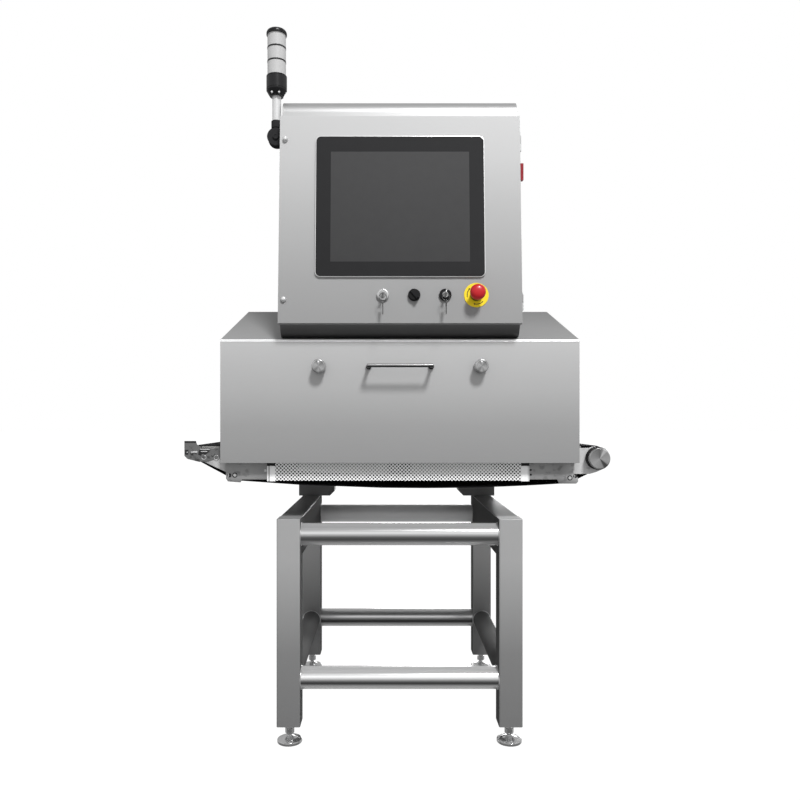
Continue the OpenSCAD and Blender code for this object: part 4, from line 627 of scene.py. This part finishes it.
# Keys and selector: a nickel-plated key in each lock with its spare on a split ring, scratched by
# use, and the selector's moulded black grip on its stem.
key_steel = metal("key_steel", 0.3, 0.25, metallic=0.85, streak=0.2, scuff=0.5)
spare_steel = metal("spare_steel", 0.07, 0.35, metallic=0.5, streak=0.2, scuff=0.5)
for side in ("left", "right"):
    eased("lock_key_" + side, "key_" + side, "lock_key_" + side, "polished", key_steel, 0.0003)
    eased("spare_key_set_" + side, "spare_key_" + side, "hanging_key_" + side, "polished",
          spare_steel, 0.0002)
eased("selector_bar", "selector_knob", "selector", "black_plastic", gloss, 0.0009)


# Emergency stop: a yellow plastic ring with three black turning arrows lies on the door, and a
# red moulded head, pushed in and twisted free, sits on a stem through it.
yellow = plastic("signal_yellow", (0.83, 0.62, 0.015), 0.45)
ring_top, arrow_low, arrow_thick = 1.8, 1.78, 0.2
bow_outer, bow_inner, barb_outer, barb_inner, tip_radius = 23.3, 21.5, 25.2, 19.6, 22.4
stop = bmesh.new()
turned(stop, [(11, 0), (30, 0), (30, 1.2), (29.4, ring_top), (15.2, ring_top), (11, ring_top),
              (11, 0)], door_at(stop_x, switch_up), 64)
for start in (20, 140, 260):
    bow = [math.radians(start + 5 * i) for i in range(12)]
    band = [(bow_outer * math.cos(a), bow_outer * math.sin(a)) for a in bow]
    band += [(bow_inner * math.cos(a), bow_inner * math.sin(a)) for a in reversed(bow)]
    slab(stop, band, arrow_thick, door_at(stop_x, switch_up), 0, 1, arrow_low)
    tip = math.radians(start - 9)
    head = [(tip_radius * math.cos(tip), tip_radius * math.sin(tip))]
    head += [(r * math.cos(bow[0]), r * math.sin(bow[0])) for r in (barb_outer, barb_inner)]
    slab(stop, head, arrow_thick, door_at(stop_x, switch_up), 0, 1, arrow_low)
finished("stop_ring", settled(stop, "stop_ring", yellow, black), "door", "yellow_plastic",
         "estop_ring")
red = plastic("signal_red", (0.44, 0.012, 0.018), 0.3, 0.3, coat=0.1)
mushroom = bmesh.new()
turned(mushroom, [(0, 36.1), (6.06, 36.1), (6.06, 21), (11.4, 21), (14.6, 25), (17.6, 26.2),
                  (18.7, 28), (19, 31), (18.9, 34.5), (18.1, 38), (16.4, 41), (13.6, 43.5),
                  (10, 45.1), (5, 45.9), (0, 46)], door_at(stop_x, switch_up), 64)
finished("stop_head", settled(mushroom, "stop_head", red), "estop_twist", "red_plastic",
         "estop_head")
eased("stop_stem", "estop_stem", "estop_push", "red_plastic", red, 0.0004)


# Main isolator: a moulded black rosette, screwed to the head's right wall over its switch, and a
# red lever that turns on it.
eased("isolator_rosette", "isolator_base", "machine", "black_plastic", black, 0.0009)
eased("isolator_lever", "isolator_handle", "isolator", "red_plastic",
      plastic("lever_red", (0.26, 0.008, 0.016), 0.4, 0.3), 0.0012)


# Signal tower's foot: a moulded black bracket, screwed to the head's left wall, and the knuckle
# that folds on it. A ring lies round its pivot, and the knuckle's socket holds the pole.
def washer(inner, outer, low, high):
    """The closed profile of a flat ring or a sleeve."""
    return [(inner, low), (outer, low), (outer, high), (inner, high), (inner, low)]


tower_x, tower_y, pivot_height, pivot_face = -311.5, 40, 1542, 23.2
eased("tower_bracket", "tower_mount", "machine", "black_plastic", black, 0.0008)
eased("folding_knuckle", "tower_knuckle", "tower", "black_plastic", black, 0.0006)
pivot = bmesh.new()
turned(pivot, washer(3.4, 7.6, 0, 0.4), at(tower_x, pivot_face, pivot_height, toward), 24)
finished("pivot_ring", settled(pivot, "pivot_ring", black), "machine", "black_plastic")


# Signal tower's pole: a pale painted tube, pushed into the socket below and the lamp base above.
# All of the tower's heights are counted from its pivot.
on_tower = at(tower_x, tower_y, pivot_height)
tube = bmesh.new()
turned(tube, bar(11, 30.5, 104.5), on_tower, 64)
finished("tower_tube", settled(tube, "tower_tube", metal("tube_paint", 0.6, 0.35, metallic=0.1)),
         "tower", "lens_plastic", "tower_pole")


# Signal tower's housings: base and cap of moulded black plastic, ribbed where they are gripped,
# with two screws in the base and a dark joint ring between one lens and the next.
screw_out, screw_height, joint = 9, 1651, 3.7
housing_black = plastic("housing_black", (0.013, 0.013, 0.014), 0.3, 0.25)
ends = bmesh.new()
turned(ends, [(0, 104.6), (17.1, 104.6), (17.5, 105), (25.4, 118), (25.85, 119.2), (25.85, 121.5),
              (25.2, 122), (25.2, 123), (25.85, 123.5), (25.85, 152), (25.3, 152.6), (25.3, 153.4),
              (25.85, 154), (25.85, 155.6), (25.5, 156), (0, 156)], on_tower, 64)
for x in (tower_x - screw_out, tower_x + screw_out):
    turned(ends, [(0, 17), (2.7, 17), (2.7, 20.4), (2.1, 21), (0, 21)],
           at(x, tower_y, screw_height, toward), 16, 1)
for up in (189.9, 224.4):
    turned(ends, washer(9, 23.7, up, up + joint), on_tower, 64)
turned(ends, [(0, 259.5), (25.4, 259.5), (25.85, 260), (25.85, 262), (25.1, 262.5), (25.1, 263.4),
              (25.85, 264), (25.6, 266), (24.6, 268.6), (22.6, 270.8), (19.5, 272.4), (15, 273.4),
              (8, 273.9), (0, 274)], on_tower, 64)
finished("tower_ends", settled(ends, "tower_ends", housing_black, stud_steel), "tower",
         "black_plastic", "tower_housings")


# Signal tower's lenses: three opal plastic sleeves with ribs round them, unlit and greyish,
# stacked on the core that carries their lamps.
rib_count, groove, rib = 9, 23.0, 23.3
lenses = bmesh.new()
for low, high in ((156, 190.5), (193, 225), (227.5, 259.5)):
    ribs = [(rib if i % 2 else groove, low + (high - low) * i / rib_count)
            for i in range(rib_count + 1)]
    turned(lenses, [(20.3, low), *ribs, (20.3, high), (20.3, low)], on_tower, 72)
turned(lenses, bar(8, 156, 259.4), on_tower, 32)
opal = plastic("opal_lens", (0.47, 0.47, 0.47), 0.3, 0.3)
finished("tower_lens_set", settled(lenses, "tower_lens_set", opal, sharp=50), "tower",
         "lens_plastic", "tower_lamps")


# Belt and rollers: a closed loop of matt black rubber belting round a turned steel drum, a tail
# roller and two snub rollers. The rollers are ground across, so their grain runs along the axle.
eased("belt_loop", "conveyor_belt", "machine", "belt_rubber",
      plastic("belt_rubber", (0.012, 0.012, 0.013), 0.9, 0.08, grain=0.05), 0.0006, 2, 50)
roller_steel = metal("roller_steel", 0.5, 0.3, (1, 0.02, 1), metallic=0.75)
for name, node, body in (("drum_shell", "drive_drum", "drum"),
                         ("tail_shell", "tail_roller", "tail"),
                         ("snub_shell_left", "snub_roller_left", "snub_at_left"),
                         ("snub_shell_right", "snub_roller_right", "snub_at_right")):
    eased(name, node, body, "bare_steel", roller_steel, 0.0008)


# Sliding bed and beams: a grey plastic bed on black rails carries the belt, and two square steel
# tubes under the rails carry the conveyor. Their front faces are bright, with a painted highlight
# and a painted shadow line along their edges, and painted shade darkens them behind.
bed_underside, beam_front = 757.4, 34
bed = eased("sliding_bed", "slider_bed", "machine", "grey_plastic",
            plastic("bed_plastic", (0.3, 0.3, 0.29), 0.4), 0.0005)
painted(bed, black, lambda x, y, z: z < bed_underside)
# painted highlight and shadow line along the beams' front edges; painted shade on their other faces
beams = eased("beam_tubes", "conveyor_beams", "machine", "bare_steel",
              metal("beam_steel", 0.95, 0.35, (0.02, 1, 1), ("X", -0.3269, 0.3346, [
                  (0.0, 1.0), (0.005, 1.0), (0.0065, 0.15), (0.0085, 0.15), (0.0105, 1.0),
                  (0.9925, 1.0), (0.9935, 0.3), (0.9955, 0.3), (0.997, 1.0), (1.0, 1.0)]),
                    metallic=0.15), 0.0016, 3)
painted(beams, metal("beam_side_shade", 0.09, 0.5), lambda x, y, z: y > beam_front)


# Side plates: cut from stainless sheet and worn by handling. Painted shade darkens their lower
# edges, their tone changes in bands across their width, and they are darker at the brackets that
# are screwed on in front of and behind them to hold the tail roller's axle.
plate_front, plate_back, bracket_end = 29.9, 474.1, -440
# painted shade: the plates are painted darker along their lower edges
plates = eased("plate_pair", "side_plates", "machine", "stainless",
               metal("plate_steel", 0.95, 0.4, (0.5, 1, 0.3), ("X", -0.534, 0.526, [
                   (0.0, 0.25), (0.05, 0.3), (0.07, 0.5), (0.092, 0.52), (0.097, 0.32),
                   (0.15, 0.34), (0.2, 0.26), (0.86, 0.33), (0.89, 0.28), (0.92, 0.42),
                   (0.945, 0.62), (1.0, 0.52)]),
                     metallic=0.3, streak=0.14, scuff=0.3, low=(0.667, 0.69, 0.5)), 0.0010)
painted(plates, metal("worn_steel", 0.14, 0.45, metallic=0.4, streak=0.2, scuff=0.6),
        lambda x, y, z: x < bracket_end and not plate_front < y < plate_back)


# Axles: ground steel shafts, held in the side plates. The drive's ends in a polished turned cap
# outside each plate, on which a reflection is painted as a fan of light and dark round its middle.
drum_x, drum_height, cap_start = 496, 732.2, 468
plate_face, plate_far_face = 30, 474
shafts = eased("roller_axles", "roller_shafts", "machine", "bare_steel", polish, 0.0006)
painted(shafts, metal("cap_painted_fan", 0.75, 0.22, metallic=0.85, fan=(mm(drum_x, 0, drum_height), [
    (0.0, 0.6), (0.15, 0.75), (0.28, 0.55), (0.42, 0.4), (0.5, 0.3), (0.545, 0.5), (0.57, 1.0),
    (0.6, 1.0), (0.64, 0.6), (0.78, 0.75), (0.84, 0.6), (0.87, 0.14), (0.92, 0.14), (0.95, 0.55),
    (1.0, 0.6)])), lambda x, y, z: x > cap_start and not plate_face < y < plate_far_face)


# Guard: a thin stainless sheet with staggered punched holes, cut to size and set between the two
# beams before the returning belt. One cell is a square on its corner with a hole in its middle.
low, high, left, right = 675.0, 745.0, -313.5, 306.0
pitch, hole_radius, guard_thick = 9.0, 2.35, 1.5
rows, columns = 18, 70
cell = bmesh.new()
bmesh.ops.create_circle(cell, segments=4, radius=pitch / 2)
bmesh.ops.subdivide_edges(cell, edges=cell.edges, cuts=1)
bmesh.ops.create_circle(cell, segments=8, radius=hole_radius)
bmesh.ops.bridge_loops(cell, edges=cell.edges)
sheet = bmesh.new()
stamp = bpy.data.meshes.new("cell")
for row in range(rows):
    for column in range(columns):
        cell.to_mesh(stamp)
        stamp.transform(Matrix.Translation(
            (left + pitch * (column + row % 2 / 2), low + pitch * row / 2, 0)))
        sheet.from_mesh(stamp)
cell.free()
bpy.data.meshes.remove(stamp)
bmesh.ops.remove_doubles(sheet, verts=sheet.verts, dist=0.01)
for place, off in (((left, 0, 0), (-1, 0, 0)), ((right, 0, 0), (1, 0, 0)),
                   ((0, low, 0), (0, -1, 0)), ((0, high, 0), (0, 1, 0))):
    bmesh.ops.bisect_plane(sheet, geom=sheet.verts[:] + sheet.edges[:] + sheet.faces[:],
                           plane_co=place, plane_no=off, clear_outer=True)
bmesh.ops.recalc_face_normals(sheet, faces=sheet.faces)
bmesh.ops.solidify(sheet, geom=sheet.faces[:], thickness=guard_thick)
guard = bmesh.new()
added(guard, sheet, at(0, plate_face, 0, toward) @ Matrix.Translation((0, 0, -guard_thick / 1000)))
# painted shade: the sheet is painted a little darker towards its lower edge
guard_steel = metal("guard_steel", 0.95, 0.4, (0.02, 1, 1), ("Z", 0.675, 0.722, [
    (0.0, 0.9), (0.3, 0.95), (0.5, 1.0), (1.0, 1.0)]), metallic=0.1)
finished("punched_guard", settled(guard, "punched_guard", guard_steel), "machine", "bare_steel",
         "perforated_guard")


# Fixings: stud nuts, bracket bolts, panel screws and axle screws of bright rolled steel. Those
# that hold the tail roller's bracket are worn dull.
worn_end, worn_back = -440, 60
fixings = eased("bright_fixings", "fasteners", "machine", "polished", stud_steel, 0.0004)
painted(fixings, metal("worn_screw", 0.16, 0.5, scuff=0.5),
        lambda x, y, z: x < worn_end and y < worn_back)


# Marks round the axles: small steel screws in dark holes, rings pressed into the front plate, dark
# edges of the tail bracket, and the screw that tensions the tail roller.
tail_face, tension_y, tension_height = 27, 26, 747
marks = bmesh.new()
for x, z in ((-415.5, 689), (429, 682)):
    turned(marks, washer(3.6, 6.4, 0, 0.4), at(x, plate_face, z, toward), 28, 1)
turned(marks, bar(5, 0, 0.4), at(-429, plate_face, 688.5, toward), 20, 1)
slab(marks, rect(-1, -4, 1, 4), 0.9, at(-431.5, plate_face, 688.5, toward), 0.2)
turned(marks, bar(5, 0, 0.4), at(442.5, plate_face, 686.5, toward), 20, 1)
slab(marks, rect(-0.8, -3.6, 0.8, 3.6), 0.8, at(441, plate_face, 685.5, toward), 0.2)
for z in (702, 690):
    turned(marks, [(0, 0), (2.5, 0), (2.5, 0.5), (2, 0.8), (0, 0.8)],
           at(330.5, plate_face, z, toward), 16, 1)
slab(marks, rect(-341, 697.5, -335.6, 703.5), 1.5, at(0, plate_face, 0, toward), 0.4)
slab(marks, rect(-541.6, 770.6, -512, 774.9), 0.4, at(0, tail_face, 0, toward), 0.1, 1)
slab(marks, rect(-540, 741, -532, 753), 0.4, at(0, tail_face, 0, toward), 0.1, 1)
turned(marks, bar(1.6, 0, 1.2), at(-534.5, tail_face, tension_height, toward), 12)
slab(marks, [(-507, 741), (-498, 737), (-484, 744), (-480, 750), (-497, 758), (-505, 752)], 0.4,
     at(0, tail_face, 0, toward), 0.1, 1)
turned(marks, bar(2.6, 0, 16), at(-524.5, tension_y, tension_height, aside), 16)
for z, left, right in ((754, -502, -478), (748.5, -500, -484)):
    turned(marks, bar(1.3, left, right), at(0, tension_y, z, aside), 12)
for x, z in ((-493, 734), (-461.5, 733.5)):
    turned(marks, ring(5.4, 0.6), at(x, tail_face, z, toward), 28)
finished("axle_marks", settled(marks, "axle_marks", stud_steel, black), "machine", "polished")


# Drive collar: a black plastic ring, pushed over the drive's end behind its polished cap, which
# seals the joint with the front plate.
collar = bmesh.new()
turned(collar, washer(26.9, 28.4, 2, 20), at(drum_x, plate_face, drum_height, toward), 64)
finished("drive_collar", settled(collar, "drive_collar", black), "machine", "black_plastic")
